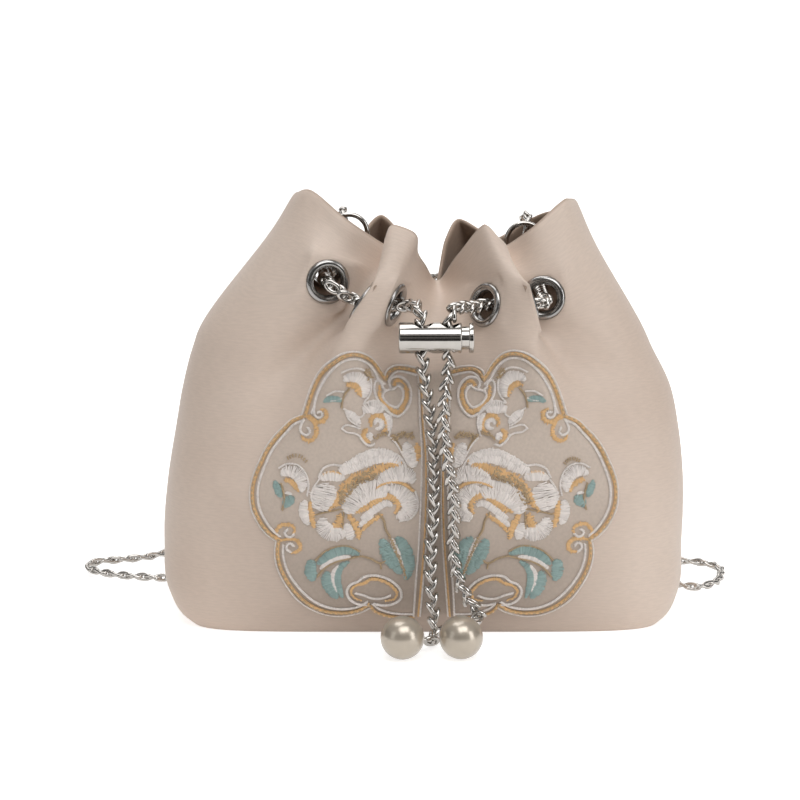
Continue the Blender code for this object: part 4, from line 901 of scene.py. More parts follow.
def unit(vectors):
    """Vectors of length 1."""
    vectors = np.asarray(vectors, float)
    return vectors / np.maximum(np.linalg.norm(vectors, axis=-1, keepdims=True), 1e-12)


def carry_normals(tangents, first):
    """Normals that are carried along a path without turning round it."""
    found = []
    normal = np.asarray(first, float)
    for tangent in tangents:
        normal = normal - np.dot(normal, tangent) * tangent
        normal = normal / np.linalg.norm(normal)
        found.append(normal)
    return np.array(found)


def loop_faces(count, sides):
    """Quads between rings of points that follow each other in a closed loop."""
    faces = []
    for i in range(count):
        following = (i + 1) % count
        for j in range(sides):
            k = (j + 1) % sides
            faces.append((i * sides + j, i * sides + k, following * sides + k, following * sides + j))
    return faces


def wire_loop(path, radius, sides):
    """Points and faces of a round wire along a closed path."""
    path = np.asarray(path, float)
    tangents = unit(np.roll(path, -1, axis=0) - np.roll(path, 1, axis=0))
    normals = carry_normals(tangents, unit(np.cross(tangents[0], (0.31, 0.52, 0.79))))
    last = unit(normals[-1] - np.dot(normals[-1], tangents[0]) * tangents[0])
    drift = math.atan2(np.dot(np.cross(last, normals[0]), tangents[0]), np.dot(last, normals[0]))
    count = len(path)
    turns = drift * np.arange(count) / count
    points = []
    for place, normal, side, turn in zip(path, normals, np.cross(tangents, normals), turns):
        for step in range(sides):
            angle = turn + FULL_TURN * step / sides
            points.append(place + radius * (math.cos(angle) * normal + math.sin(angle) * side))
    return points, loop_faces(count, sides)


def wire_ring(radius, count, wire, sides):
    """Points and faces of a round wire bent to a circle in the XY plane."""
    angles = FULL_TURN * np.arange(count) / count
    path = np.stack([radius * np.cos(angles), radius * np.sin(angles), np.zeros(count)], axis=1)
    return wire_loop(path, wire, sides)


def placed(shape, matrix):
    """Points and faces of a shape, with the points moved by a matrix."""
    points, faces = shape
    matrix = np.array(matrix)
    return np.asarray(points) @ matrix[:3, :3].T + matrix[:3, 3], faces


def turned_points(profile, sides):
    """Points of a profile of radius and height turned round Z, ring by ring."""
    angles = FULL_TURN * np.arange(sides) / sides
    points = []
    for radius, height in profile:
        points.extend((radius * math.cos(angle), radius * math.sin(angle), height) for angle in angles)
    return points


def turned_shell(profile, sides):
    """A closed profile turned round Z. It runs down its outer side."""
    faces = [(a, d, c, b) for a, b, c, d in loop_faces(len(profile), sides)]
    return turned_points(profile, sides), faces


def turned_solid(profile, sides):
    """A profile from pole to pole turned round Z. It runs down its outer side."""
    points = [(0.0, 0.0, profile[0][1]), *turned_points(profile[1:-1], sides), (0.0, 0.0, profile[-1][1])]
    last = len(points) - 1
    bottom = last - sides
    faces = []
    for j in range(sides):
        k = (j + 1) % sides
        faces.append((0, 1 + j, 1 + k))
        for upper in range(1, bottom, sides):
            lower = upper + sides
            faces.append((upper + j, lower + j, lower + k, upper + k))
        faces.append((bottom + j, last, bottom + k))
    return points, faces


def frame_matrix(place, normal, side):
    """Matrix at a place with Z along the normal and X as near the side direction as that allows."""
    z_axis = Vector(normal).normalized()
    y_axis = z_axis.cross(Vector(side)).normalized()
    x_axis = y_axis.cross(z_axis)
    rotation = Matrix((x_axis, y_axis, z_axis)).transposed().to_4x4()
    return Matrix.Translation(Vector(place)) @ rotation


def apply_modifiers(obj):
    """Turn what the modifiers make into a plain mesh and drop the modifiers."""
    graph = bpy.context.evaluated_depsgraph_get()
    made = bpy.data.meshes.new_from_object(obj.evaluated_get(graph), depsgraph=graph)
    obj.modifiers.clear()
    old = obj.data
    obj.data = made
    bpy.data.meshes.remove(old)
    return obj


def finish_piece(obj, body, replaced=()):
    """Tie a piece to its CAD body and hide the nodes that it stands for."""
    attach(obj, body)
    if replaced:
        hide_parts(*replaced)
    return obj


def set_inputs(tree, node, values):
    """Link a node's inputs to other nodes' outputs, or set them to plain values."""
    for key, value in values.items():
        if isinstance(value, bpy.types.NodeSocket):
            tree.links.new(value, node.inputs[key])
        else:
            node.inputs[key].default_value = value
    return node


def add_node(tree, kind, inputs=None, **settings):
    """A node with its settings and inputs."""
    node = tree.nodes.new(kind)
    for key, value in settings.items():
        setattr(node, key, value)
    return set_inputs(tree, node, inputs or {})


def plain_material(name, colour, roughness, metallic=0.0, **more):
    """A Principled material, its node tree and its shader."""
    material = bpy.data.materials.new(name)
    material.use_nodes = True
    tree = material.node_tree
    values = {"Base Color": (*colour, 1.0), "Roughness": roughness, "Metallic": metallic}
    shader = set_inputs(tree, tree.nodes["Principled BSDF"], values)
    set_inputs(tree, shader, {key.replace("_", " "): value for key, value in more.items()})
    return material, tree, shader


def object_place(tree):
    """The object's own coordinates."""
    return add_node(tree, "ShaderNodeTexCoord").outputs["Object"]


def point_value(tree, name):
    """A value that the mesh carries on its points."""
    return add_node(tree, "ShaderNodeAttribute", attribute_name=name).outputs["Fac"]


def noise_value(tree, coordinates, scale, detail=2.0, stretch=(1, 1, 1)):
    """A noise value on coordinates that are stretched first."""
    mapping = add_node(tree, "ShaderNodeMapping", {"Scale": stretch, "Vector": coordinates})
    values = {"Scale": scale, "Detail": detail, "Vector": mapping.outputs["Vector"]}
    return add_node(tree, "ShaderNodeTexNoise", values).outputs["Fac"]


def ramp(tree, value, low, high, start=0.35, end=0.65):
    """A colour that runs from low to high as a value rises."""
    node = add_node(tree, "ShaderNodeValToRGB", {"Fac": value})
    for element, place, colour in zip(node.color_ramp.elements, (start, end), (low, high)):
        element.position = place
        element.color = (*colour, 1.0)
    return node.outputs["Color"]


def shades(tree, value, colour, dark, light=1.0, start=0.35, end=0.65):
    """A colour that runs from its dark share to its light share as a value rises."""
    low, high = (tuple(min(1.0, share * channel) for channel in colour) for share in (dark, light))
    return ramp(tree, value, low, high, start, end)


def mix_colours(tree, factor, first, second, blend="MIX"):
    """A mix of two colour outputs."""
    node = add_node(tree, "ShaderNodeMix", data_type="RGBA", blend_type=blend)
    return set_inputs(tree, node, {0: factor, 6: first, 7: second}).outputs[2]


def add_bump(tree, shader, height, strength, distance, under=None):
    """Bump from a height value, on top of another bump where there is one."""
    values = {"Strength": strength, "Distance": distance, "Height": height}
    if under is not None:
        values["Normal"] = under
    normal = add_node(tree, "ShaderNodeBump", values).outputs["Normal"]
    set_inputs(tree, shader, {"Normal": normal})
    return normal


def weave_height(tree, coordinates, pitch):
    """Height of a plain weave: two crossed waves."""
    values = {"Scale": 1.0 / (pitch * 3.2), "Distortion": 0.6, "Detail": 1.0, "Vector": coordinates}
    both = add_node(tree, "ShaderNodeMath", operation="ADD")
    for index, direction in enumerate("XY"):
        wave = add_node(tree, "ShaderNodeTexWave", values, wave_type="BANDS", bands_direction=direction)
        set_inputs(tree, both, {index: wave.outputs["Fac"]})
    return both.outputs[0]


def painted_foot_shade(tree, place):
    """Painted shade: white on most of the cloth, and darker low in the middle of the front and back."""
    axes = add_node(tree, "ShaderNodeSeparateXYZ", {0: place}).outputs
    rise = add_node(tree, "ShaderNodeMapRange", {"Value": axes["Z"], "From Max": PAINTED_SHADE_HEIGHT})
    sideways = add_node(tree, "ShaderNodeMath", {0: axes["X"]}, operation="ABSOLUTE").outputs[0]
    limits = {"Value": sideways, "From Min": PAINTED_SHADE_INNER_WIDTH, "From Max": PAINTED_SHADE_OUTER_WIDTH}
    aside = add_node(tree, "ShaderNodeMapRange", limits)
    both = {0: rise.outputs["Result"], 1: aside.outputs["Result"]}
    unshaded = add_node(tree, "ShaderNodeMath", both, operation="MAXIMUM")
    return ramp(tree, unshaded.outputs[0], PAINTED_SHADE_COLOUR, WHITE, 0.0, 1.0)


def make_satin(cloth):
    """Satin with a fine rib, slow colour drift, the front's sheer panel and painted shade low in the
    middle.
    """
    material, tree, shader = plain_material(
        "gathered_satin",
        cloth.satin_light,
        0.48,
        Sheen_Weight=0.12,
        Sheen_Roughness=0.35,
        Specular_IOR_Level=0.4,
    )
    place = object_place(tree)
    cloth_map = add_node(tree, "ShaderNodeUVMap", uv_map="cloth").outputs["UV"]
    drift = noise_value(tree, place, 14.0, 3.0)
    satin = ramp(tree, drift, cloth.satin_deep, cloth.satin_light, 0.3, 0.6)
    streaks = noise_value(tree, cloth_map, 260.0, 2.0, (1.0, 6.0, 1.0))
    tinted = mix_colours(tree, 1.0, satin, shades(tree, streaks, WHITE, 0.94), "MULTIPLY")
    sheer = shades(tree, noise_value(tree, place, 900.0, 1.0), cloth.panel, 0.93)
    front = mix_colours(tree, point_value(tree, "panel"), tinted, sheer)
    # Painted shade, multiplied into the satin low in the middle of the front and back
    outside = mix_colours(tree, 1.0, front, painted_foot_shade(tree, place), "MULTIPLY")
    inside = shades(tree, streaks, cloth.lining, 0.9)
    colour = mix_colours(tree, point_value(tree, "lining"), outside, inside)
    set_inputs(tree, shader, {"Base Color": colour})
    under = add_bump(tree, shader, noise_value(tree, place, 45.0, 2.0), 0.25, 0.6 * MM)
    add_bump(tree, shader, weave_height(tree, cloth_map, 0.45 * MM), 0.25, 0.06 * MM, under)
    return material


def make_thread_material(name, colour):
    """Lustrous thread whose tone differs from stitch to stitch."""
    material, tree, shader = plain_material(name, colour, 0.42, Sheen_Weight=0.3, Specular_IOR_Level=0.6)
    shade = shades(tree, point_value(tree, "tone"), colour, 0.8, 1.06, 0.0, 1.0)
    set_inputs(tree, shader, {"Base Color": shade})
    add_bump(tree, shader, noise_value(tree, object_place(tree), 4000.0, 1.0), 0.3, 0.1 * MM)
    return material


def make_metal(name, colour, smooth, rough_end):
    """Metal with faint polish marks and cloudy roughness."""
    material, tree, shader = plain_material(name, colour, smooth, 1.0)
    place = object_place(tree)
    cloud = noise_value(tree, place, 120.0, 3.0)
    rough = add_node(tree, "ShaderNodeMapRange", {"Value": cloud, "To Min": smooth, "To Max": rough_end})
    values = {"Roughness": rough.outputs["Result"], "Base Color": shades(tree, cloud, colour, 0.88)}
    set_inputs(tree, shader, values)
    add_bump(tree, shader, noise_value(tree, place, 700.0, 2.0), 0.12, 0.05 * MM)
    return material


def make_pearl_material(metal):
    """Cream pearl lustre under a clear coat."""
    material, tree, shader = plain_material(
        "cream_pearl", metal.pearl, 0.3, 0.55, Coat_Weight=1.0, Coat_Roughness=0.16, Coat_IOR=1.6
    )
    place = object_place(tree)
    cloud = noise_value(tree, place, 90.0, 3.0)
    set_inputs(tree, shader, {"Base Color": shades(tree, cloud, metal.pearl, 0.9)})
    add_bump(tree, shader, noise_value(tree, place, 300.0, 2.0), 0.08, 0.1 * MM)
    return material


def make_tab_material(cloth):
    """Plain cloth of the ring tabs."""
    material, tree, shader = plain_material("tab_weave", cloth.tab, 0.7, Sheen_Weight=0.3)
    place = object_place(tree)
    cloud = noise_value(tree, place, 500.0, 3.0)
    set_inputs(tree, shader, {"Base Color": shades(tree, cloud, cloth.tab, 0.85)})
    add_bump(tree, shader, noise_value(tree, place, 2400.0, 1.0), 0.4, 0.1 * MM)
    return material


def get_material(name, maker, *values):
    """A material made on its first use."""
    found = bpy.data.materials.get(name)
    return found if found is not None else maker(*values)


def get_silver(metal):
    """The plated metal of the chains, the lock and the rings."""
    return get_material("silver", make_metal, "silver", metal.silver, 0.06, 0.16)


def inside_outline(x, z, outline):
    """Which points lie inside a closed outline."""
    inside = np.zeros(len(x), bool)
    corners = np.asarray(outline, float)
    for (x0, z0), (x1, z1) in zip(corners, np.roll(corners, -1, axis=0)):
        crosses = (z0 > z) != (z1 > z)
        with np.errstate(divide="ignore", invalid="ignore"):
            reach = (x1 - x0) * (z - z0) / (z1 - z0) + x0
        inside ^= crosses & (x < reach)
    return inside


def panel_outline():
    """The embroidered panel's left half as an outline, in metres."""
    rows = {row[0]: row[4] for row in ORNAMENT}
    edge = [np.reshape(rows[name], (-1, 2)) for name in PANEL_EDGE]
    return np.vstack([*edge, PANEL_CORNER_LOW, PANEL_CORNER_HIGH]) * MM


def panel_mask(points):
    """1 where a point lies on the sheer panel on the front, 0 elsewhere."""
    outline = panel_outline()
    x, y, z = points.T
    mirrored = 2 * ORNAMENT_MIDDLE - x
    front = y < PANEL_FRONT_Y
    found = inside_outline(x, z, outline) | inside_outline(mirrored, z, outline)
    return (found & front).astype(np.float32)


def grid_normals(points):
    """Outward directions of a grid that is closed round its columns."""
    across = np.roll(points, -1, axis=1) - np.roll(points, 1, axis=1)
    return unit(np.cross(across, np.gradient(points, axis=0)))


def fine_body_grid(cloth):
    """Outer and inner points of the cloth, and which cells the eyelets' holes take away."""
    surface = BodySurface()
    columns = cloth.columns
    shares = np.arange(columns) / columns
    row_count = max(12, round(surface.rim_cloth / cloth.row_step))
    ways = np.linspace(0, surface.rim_cloth, row_count)
    for edge in (-EYELET_FLAT, EYELET_FLAT):
        ways[np.argmin(np.abs(ways - surface.neck_cloth - edge))] = surface.neck_cloth + edge
        for share, *_ in surface.patches:
            wanted = (share + edge / surface.length) % 1.0
            shares[np.argmin(np.abs(shares - wanted))] = wanted
    shares, ways = np.meshgrid(shares, ways)
    outer = surface.place(shares.ravel(), ways.ravel()).reshape(row_count, columns, 3)
    outer = outer + grid_normals(outer) * wrinkles(surface, shares, ways)[..., None]
    outer = soften(surface, outer, shares, ways)
    inner = outer - grid_normals(outer) * BODY_WALL
    near = np.full((row_count, columns), FAR)
    for share, *_ in surface.patches:
        near = np.minimum(near, np.hypot(*surface.from_eyelet(share, shares, ways)))
    beside = np.roll(near, -1, axis=1)
    removed = 0.25 * (near[:-1] + near[1:] + beside[:-1] + beside[1:]) < HOLE_RADIUS + HOLE_MARGIN
    touched = corner_counts(removed)
    edge = (touched > 0) & (touched < 4)
    for share, middle, normal, side, upward in surface.patches:
        sideways, up = surface.from_eyelet(share, shares, ways)
        distance = np.hypot(sideways, up)
        chosen = edge & (distance < 2 * HOLE_RADIUS)
        scale = HOLE_RADIUS / np.maximum(distance, TINY)
        along_side = (sideways * scale)[..., None] * np.array(side)
        flat = np.array(middle) + along_side + (up * scale)[..., None] * np.array(upward)
        outer[chosen] = flat[chosen]
        inner[chosen] = flat[chosen] - np.array(normal) * BODY_WALL
    return surface, outer, inner, removed, shares * surface.length, ways


def soften(surface, outer, shares, ways):
    """Round off the small creases of the gathered neck, and keep the cloth flat under the eyelets."""
    weight = np.clip(1 - (np.abs(ways - surface.neck_cloth) - SOFT_REACH) / SOFT_REACH, 0, 1)
    for share, *_ in surface.patches:
        distance = surface.square_distance(share, shares, ways)
        weight *= np.clip((distance - EYELET_FLAT - SOFT_MARGIN) / SOFT_BLEND, 0, 1)
    weight[[0, -1]] = 0
    for _ in range(SOFT_ROUNDS):
        around = 0.25 * (np.roll(outer, 1, axis=1) + np.roll(outer, -1, axis=1))
        upward = 0.25 * (np.roll(outer, 1, axis=0) + np.roll(outer, -1, axis=0))
        outer = outer + weight[..., None] * (around + upward - outer)
    return outer


def corner_counts(removed):
    """How many of the four cells round each grid point are taken away."""
    padded = np.pad(removed.astype(int), ((1, 1), (0, 0)))
    below, above = padded[:-1], padded[1:]
    return below + above + np.roll(below, 1, axis=1) + np.roll(above, 1, axis=1)


def wrinkles(surface, shares, ways):
    """Small soft waves in the cloth, in metres, from the table of wrinkles."""
    found = np.zeros(shares.shape)
    for share, height, length, width, lean, rise in WRINKLES:
        sideways = surface.from_eyelet(share, shares, ways)[0]
        up = ways - height * BODY_HEIGHT
        along = up * math.cos(lean) + sideways * math.sin(lean)
        across = sideways * math.cos(lean) - up * math.sin(lean)
        found += rise * MM * np.exp(-((along / (length * MM)) ** 2) - (across / (width * MM)) ** 2)
    for share, *_ in surface.patches:
        distance = surface.square_distance(share, shares, ways)
        found *= np.clip((distance - EYELET_FLAT) / EYELET_FLAT_BLEND, 0, 1)
    return found


def base_points(edge, middle, height):
    """Rings of a flat base that shrink from its edge, and its middle."""
    points = np.vstack([*(middle + (edge - middle) * share for share in BASE_RINGS), middle])
    points[:, 2] = height
    return points


def make_cloth_body(cloth):
    """The hollow satin body: wall, rolled rim, eyelet holes and base."""
    surface, outer, inner, removed, along, ways = fine_body_grid(cloth)
    rows, columns = outer.shape[:2]
    rise = unit(outer[-1] - outer[-2]) * BODY_WALL
    rolls = [(1 - share) * outer[-1] + share * inner[-1] + lift * rise for share, lift in RIM_ROLL]
    middle = outer[0].mean(axis=0) * (1, 1, 0)
    bases = [base_points(outer[0], middle, BASE_RISE), base_points(inner[0], middle, BODY_WALL)]
    points = np.vstack([outer.reshape(-1, 3), inner.reshape(-1, 3), *rolls, *bases])
    start_inner = rows * columns
    start_roll = 2 * start_inner
    base_outer = start_roll + len(rolls) * columns
    base_inner = base_outer + len(bases[0])
    steps = np.diff([*along[0], surface.length])
    faces, uvs = [], []

    def square(column, low, high):
        left, right = along[0, column], along[0, column] + steps[column]
        return (left, low), (right, low), (right, high), (left, high)

    def flat(_, corners):
        return [tuple(points[corner][:2]) for corner in corners]

    def add(face, corners, flip=False):
        faces.append(face[::-1] if flip else face)
        uvs.extend(corners[::-1] if flip else corners)

    def add_band(first, second, mapped, flip=False):
        for column in range(columns):
            following = (column + 1) % columns
            quad = (first + column, first + following, second + following, second + column)
            add(quad, mapped(column, quad), flip)

    for row in range(rows - 1):
        for column in range(columns):
            following = (column + 1) % columns
            a, b = row * columns + column, row * columns + following
            c, d = b + columns, a + columns
            corners = square(column, ways[row, 0], ways[row + 1, 0])
            if not removed[row, column]:
                add((a, b, c, d), corners)
                add(tuple(start_inner + corner for corner in (a, b, c, d)), corners, True)
                continue
            neighbours = (
                (removed[row - 1, column], a, b),
                (removed[row, following], b, c),
                (removed[row + 1, column], c, d),
                (removed[row, column - 1], d, a),
            )
            for gone, first, second in neighbours:
                if not gone:
                    add((start_inner + second, start_inner + first, first, second), corners)
    rim_way = ways[-1, 0]
    rings = [start_roll + i * columns for i in range(len(rolls))]
    rim = [start_inner - columns, *rings, start_roll - columns]
    for lower, upper in zip(rim[:-1], rim[1:]):
        add_band(lower, upper, lambda column, _: square(column, rim_way, rim_way + MM))
    for edge, base, flip in ((0, base_outer, True), (start_inner, base_inner, False)):
        rings = [edge, *(base + i * columns for i in range(len(BASE_RINGS)))]
        for first, second in zip(rings[:-1], rings[1:]):
            add_band(first, second, flat, flip)
        last, centre = rings[-1], base + len(bases[0]) - 1
        for column in range(columns):
            corner = (last + column, last + (column + 1) % columns, centre)
            add(corner, flat(column, corner), flip)
    lining = np.zeros(len(points), np.float32)
    lining[start_inner:base_outer] = 1.0
    lining[base_inner:] = 1.0
    used = np.zeros(len(points), bool)
    for face in faces:
        used[list(face)] = True
    renumber = np.cumsum(used) - 1
    faces = [tuple(int(renumber[corner]) for corner in face) for face in faces]
    satin = get_material("gathered_satin", make_satin, cloth)
    body = new_mesh_object("satin_body", points[used], faces, satin)
    layer = body.data.uv_layers.new(name="cloth")
    layer.data.foreach_set("uv", np.array(uvs, np.float32).ravel())
    add_attribute(body.data, "panel", panel_mask(points[used]))
    add_attribute(body.data, "lining", lining[used])
    return body


def node_group(name, inputs):
    """A Geometry Nodes tree with geometry in and out and named inputs, and what its input gives."""
    tree = bpy.data.node_groups.new(name, "GeometryNodeTree")
    for socket, kind in {"Geometry": "Geometry", **inputs, "Material": "Material"}.items():
        tree.interface.new_socket(socket, in_out="INPUT", socket_type="NodeSocket" + kind)
    tree.interface.new_socket("Geometry", in_out="OUTPUT", socket_type="NodeSocketGeometry")
    return tree, tree.nodes.new("NodeGroupInput").outputs


def finish_group(tree, source, geometry, kinds):
    """Pass geometry through nodes, set its material and hand it out."""
    for kind in kinds:
        geometry = add_node(tree, kind, {"Geometry": geometry}).outputs["Geometry"]
    values = {"Geometry": geometry, "Material": source["Material"]}
    made = add_node(tree, "GeometryNodeSetMaterial", values)
    add_node(tree, "NodeGroupOutput", {"Geometry": made.outputs["Geometry"]})
    return tree


def stitch_tree():
    """Geometry Nodes that turn thread lines into round threads."""
    tree, source = node_group("thread_stitches", {"Thread radius": "Float", "Sides": "Int"})
    lines = add_node(tree, "GeometryNodeMeshToCurve", {"Mesh": source["Geometry"]})
    values = {"Radius": source["Thread radius"], "Resolution": source["Sides"]}
    circle = add_node(tree, "GeometryNodeCurvePrimitiveCircle", values)
    values = {
        "Curve": lines.outputs["Curve"],
        "Profile Curve": circle.outputs["Curve"],
        "Fill Caps": True,
    }
    threads = add_node(tree, "GeometryNodeCurveToMesh", values)
    kinds = ("GeometryNodeSetShadeSmooth", "GeometryNodeRealizeInstances")
    return finish_group(tree, source, threads.outputs["Mesh"], kinds)


def chain_tree():
    """Geometry Nodes that set a link on each point of a route, turned by the point's attribute."""
    tree, source = node_group("chain_links", {"Link": "Object", "Link size": "Float"})
    link_shape = add_node(tree, "GeometryNodeObjectInfo", {"Object": source["Link"]})
    turn = add_node(tree, "GeometryNodeInputNamedAttribute", {"Name": "turn"}, data_type="FLOAT_VECTOR")
    rotation = add_node(tree, "FunctionNodeEulerToRotation", {"Euler": turn.outputs["Attribute"]})
    values = {
        "Points": source["Geometry"],
        "Instance": link_shape.outputs["Geometry"],
        "Rotation": rotation.outputs["Rotation"],
        "Scale": source["Link size"],
    }
    links = add_node(tree, "GeometryNodeInstanceOnPoints", values)
    kinds = ("GeometryNodeRealizeInstances", "GeometryNodeSetShadeSmooth")
    return finish_group(tree, source, links.outputs["Instances"], kinds)


def run_nodes(obj, tree, values):
    """Run a node tree on an object and keep its plain mesh."""
    modifier = obj.modifiers.new(tree.name, "NODES")
    modifier.node_group = tree
    sockets = {
        item.name: item.identifier
        for item in tree.interface.items_tree
        if item.item_type == "SOCKET" and item.in_out == "INPUT"
    }
    for name, value in values.items():
        modifier[sockets[name]] = value
    obj.data.update()
    return apply_modifiers(obj)


class ThreadLines:
    """Thread lines that lie on the cloth, one list for each colour."""

    def __init__(self, tree, threads):
        self.tree = tree
        self.pitch = threads.pitch
        self.random = np.random.default_rng(7)
        self.lines = {}

    def drop(self, x, z, height):
        """A point on the front of the cloth at this x and z, lifted off it, or None."""
        start = Vector((x, THREAD_RAY_START, z))
        place, normal, _, _ = self.tree.ray_cast(start, Vector((0, 1, 0)))
        return None if place is None else place + normal * height

    def stitch(self, colour, start, end, low, rise, steps=3):
        """One arched thread from a start to an end in the front view."""
        start, end = np.array(start), np.array(end)
        tone = float(np.clip(self.random.normal(0.68, 0.24), 0, 1))
        points = []
        for share in np.linspace(0, 1, steps + 1):
            x, z = start + (end - start) * share
            point = self.drop(x, z, low + rise * math.sin(math.pi * share) ** 0.6)
            if point is None:
                return
            points.append(point)
        self.lines.setdefault(colour, []).append((points, tone))

    def cross_stitch(self, colour, place, across, direction, half, reach, lift):
        """One thread across a band, or two that overlap where one would be too long."""
        jitter = self.random.normal(0, RAGGED_ENDS[colour], 2) * half
        low_end = place - across * (reach + jitter[0])
        high_end = place + across * (reach + jitter[1])
        lean = direction * self.random.normal(0, STITCH_LEAN) * half
        rise = min(STITCH_ARCH, 0.22 * half)
        if 2 * reach <= LONG_STITCH:
            self.stitch(colour, low_end, high_end + lean, lift, rise)
            return
        meet = low_end + (high_end - low_end) * self.random.uniform(0.38, 0.62)
        over = (high_end - low_end) * STITCH_OVERLAP
        self.stitch(colour, low_end, meet + over + lean, lift, rise)
        self.stitch(colour, meet - over - lean, high_end, lift, rise)

    def knot(self, colour, middle, lift):
        """One short thread that lies in any direction."""
        tip = self.random.normal(0, 1, 2)
        tip = tip / np.linalg.norm(tip) * KNOT_HALF
        self.stitch(colour, middle - tip, middle + tip, lift, 0.3 * MM, 2)

    def band(self, colour, lay, half, points):
        """The threads of one row of the ornament's table."""
        line, directions = even_points(points, self.pitch * THREAD_STEP[lay], LINE_FINENESS)
        lift = THREAD_LIFT[lay] * MM
        for i, (place, direction) in enumerate(zip(line, directions)):
            across = np.array([-direction[1], direction[0]])
            share = i / (len(line) - 1)
            bulge = 4 * share * (1 - share)
            if lay == "cord":
                slant = half * (across * 0.75 + direction * 0.66)
                self.stitch(colour, place - slant, place + slant, lift, 0.9 * half)
            elif lay in ("fill", "open"):
                taper = bulge**0.4 if lay == "fill" else 0.35 + 0.65 * bulge**0.5
                reach = half * max(taper, THINNEST_END)
                self.cross_stitch(colour, place, across, direction, half, reach, lift)
            elif lay == "dashes":
                dash = direction * half
                self.stitch(colour, place - dash, place + dash, lift, 0.15 * MM, 2)
            elif lay == "knots":
                for _ in range(max(1, round(half / KNOT_HALF))):
                    self.knot(colour, place + across * self.random.uniform(-half, half), lift)
            else:
                tip = across * half + direction * self.random.normal(0, 0.1) * half
                self.stitch(colour, place, place + tip, lift, 0.2 * MM)

    def make(self, threads):
        """One piece of plain mesh for each colour of thread."""
        tree = stitch_tree()
        made = []
        for colour, lines in self.lines.items():
            points, edges, tones = [], [], []
            for line, tone in lines:
                start = len(points)
                points.extend(tuple(point) for point in line)
                edges.extend((start + i, start + i + 1) for i in range(len(line) - 1))
                tones.extend([tone] * len(line))
            mesh = bpy.data.meshes.new(f"embroidery_{colour}")
            mesh.from_pydata(points, edges, [])
            add_attribute(mesh, "tone", tones)
            name = f"thread_{colour}"
            material = get_material(name, make_thread_material, name, getattr(threads, colour))
            values = {"Thread radius": threads.radius, "Sides": 5, "Material": material}
            made.append(run_nodes(new_object(f"embroidery_{colour}", mesh), tree, values))
        return made


def face_front(places, tangents):
    """Link backs that face away from the front on both hanging strands, and turn evenly between."""
    count = len(places)
    third = count // 3
    first = int(np.argmin(np.abs(places[:third, 2] - STRAND_MIDDLE)))
    last = count - third + int(np.argmin(np.abs(places[-third:, 2] - STRAND_MIDDLE)))
    back = (0.0, 1.0, 0.0)
    before = carry_normals(tangents[first::-1], back)[::-1]
    backs = np.concatenate([before[:-1], carry_normals(tangents[first:], back)])
    wanted = unit(np.array(back) - tangents[last][1] * tangents[last])
    drift = math.atan2(np.dot(np.cross(backs[last], wanted), tangents[last]), np.dot(backs[last], wanted))
    shares = np.clip(((np.arange(count) - first) / (last - first) - 0.3) / 0.4, 0, 1)
    angles = (drift * shares)[:, None]
    return backs * np.cos(angles) + np.cross(tangents, backs) * np.sin(angles)


def face_up(places, tangents):
    """Link backs that lie flat on the floor and face outwards where the chain hangs."""
    height = places[:, 2]
    hanging = np.clip((height - STRAP_LIES_TO) / STRAP_LIFTS_OVER, 0, 1)
    inside = np.clip((height - STRAP_HANGS_TO) / STRAP_TURNS_OVER, 0, 1)
    weight = (hanging * (1 - inside))[:, None]
    wanted = weight * np.array([0.0, 1.0, 0.0]) + (1 - weight) * np.array([0.0, 0.0, 1.0])
    return unit(wanted - np.sum(wanted * tangents, axis=1, keepdims=True) * tangents)


def make_chain(name, route, pitch, facing, rolls, link_shape, material):
    """One mesh of links along a route, with Z along the route and two rolls that take turns."""
    places, tangents = even_points(np.array(route) * MM, pitch, ROUTE_FINENESS)
    turns = []
    for i, (tangent, back) in enumerate(zip(tangents, facing(places, tangents))):
        z_axis, y_axis = Vector(tangent), Vector(back)
        rotation = Matrix((y_axis.cross(z_axis), y_axis, z_axis)).transposed()
        turns.extend((rotation @ Matrix.Rotation(rolls[i % 2], 3, "Z")).to_euler())
    mesh = bpy.data.meshes.new(name)
    mesh.from_pydata([tuple(place) for place in places], [], [])
    add_attribute(mesh, "turn", turns, "FLOAT_VECTOR", "vector")
    tree = bpy.data.node_groups.get("chain_links") or chain_tree()
    values = {"Link": link_shape, "Link size": 1.0, "Material": material}
    chain = run_nodes(new_object(name, mesh), tree, values)
    bpy.data.objects.remove(link_shape)
    return chain


def make_link(name, x, y, z, wire):
    """A link of round wire through a closed loop of places."""
    return new_mesh_object(name, *wire_loop(np.stack([x, y, z], axis=1), wire, 6))


def foxtail_link(wire):
    """A link of the drawstring: an upright oval that leans to one side of the chain."""
    angles = FULL_TURN * np.arange(16) / 16
    lean = STRING_LINK_HALF_LENGTH * np.cos(angles)
    x = STRING_LINK_OFFSET + lean * math.sin(STRING_LINK_LEAN)
    y = STRING_LINK_HALF_DEPTH * np.sin(angles)
    return make_link("drawstring_link", x, y, lean * math.cos(STRING_LINK_LEAN), wire)


def curb_link(wire):
    """A link of the strap: an oval along the chain, twisted so that it lies in the next one."""
    angles = FULL_TURN * np.arange(18) / 18
    x = STRAP_LINK_HALF_WIDTH * np.sin(angles)
    y = STRAP_LINK_TWIST * np.sin(2 * angles)
    return make_link("strap_link", x, y, STRAP_LINK_HALF_LENGTH * np.cos(angles), wire)


def make_eyelet_piece(steel):
    """All the turned eyelets as one piece."""
    shape = turned_shell(np.array(EYELET_PROFILE) * MM, EYELET_SIDES)
    pile = Pile()
    for _, middle, normal, side, _ in BodySurface().patches:
        pile.add(*placed(shape, frame_matrix(middle, normal, side)))
    return pile.make("eyelets", steel)


def rounded(radius, low, high, size, steps):
    """The rounded outer corners of a turned part, from its top down to its foot."""
    found = []
    for height, start in ((high - size, QUARTER_TURN), (low + size, 0)):
        for step in range(steps + 1):
            angle = start - QUARTER_TURN * step / steps
            found.append((radius - size + size * math.cos(angle), height + size * math.sin(angle)))
    return found


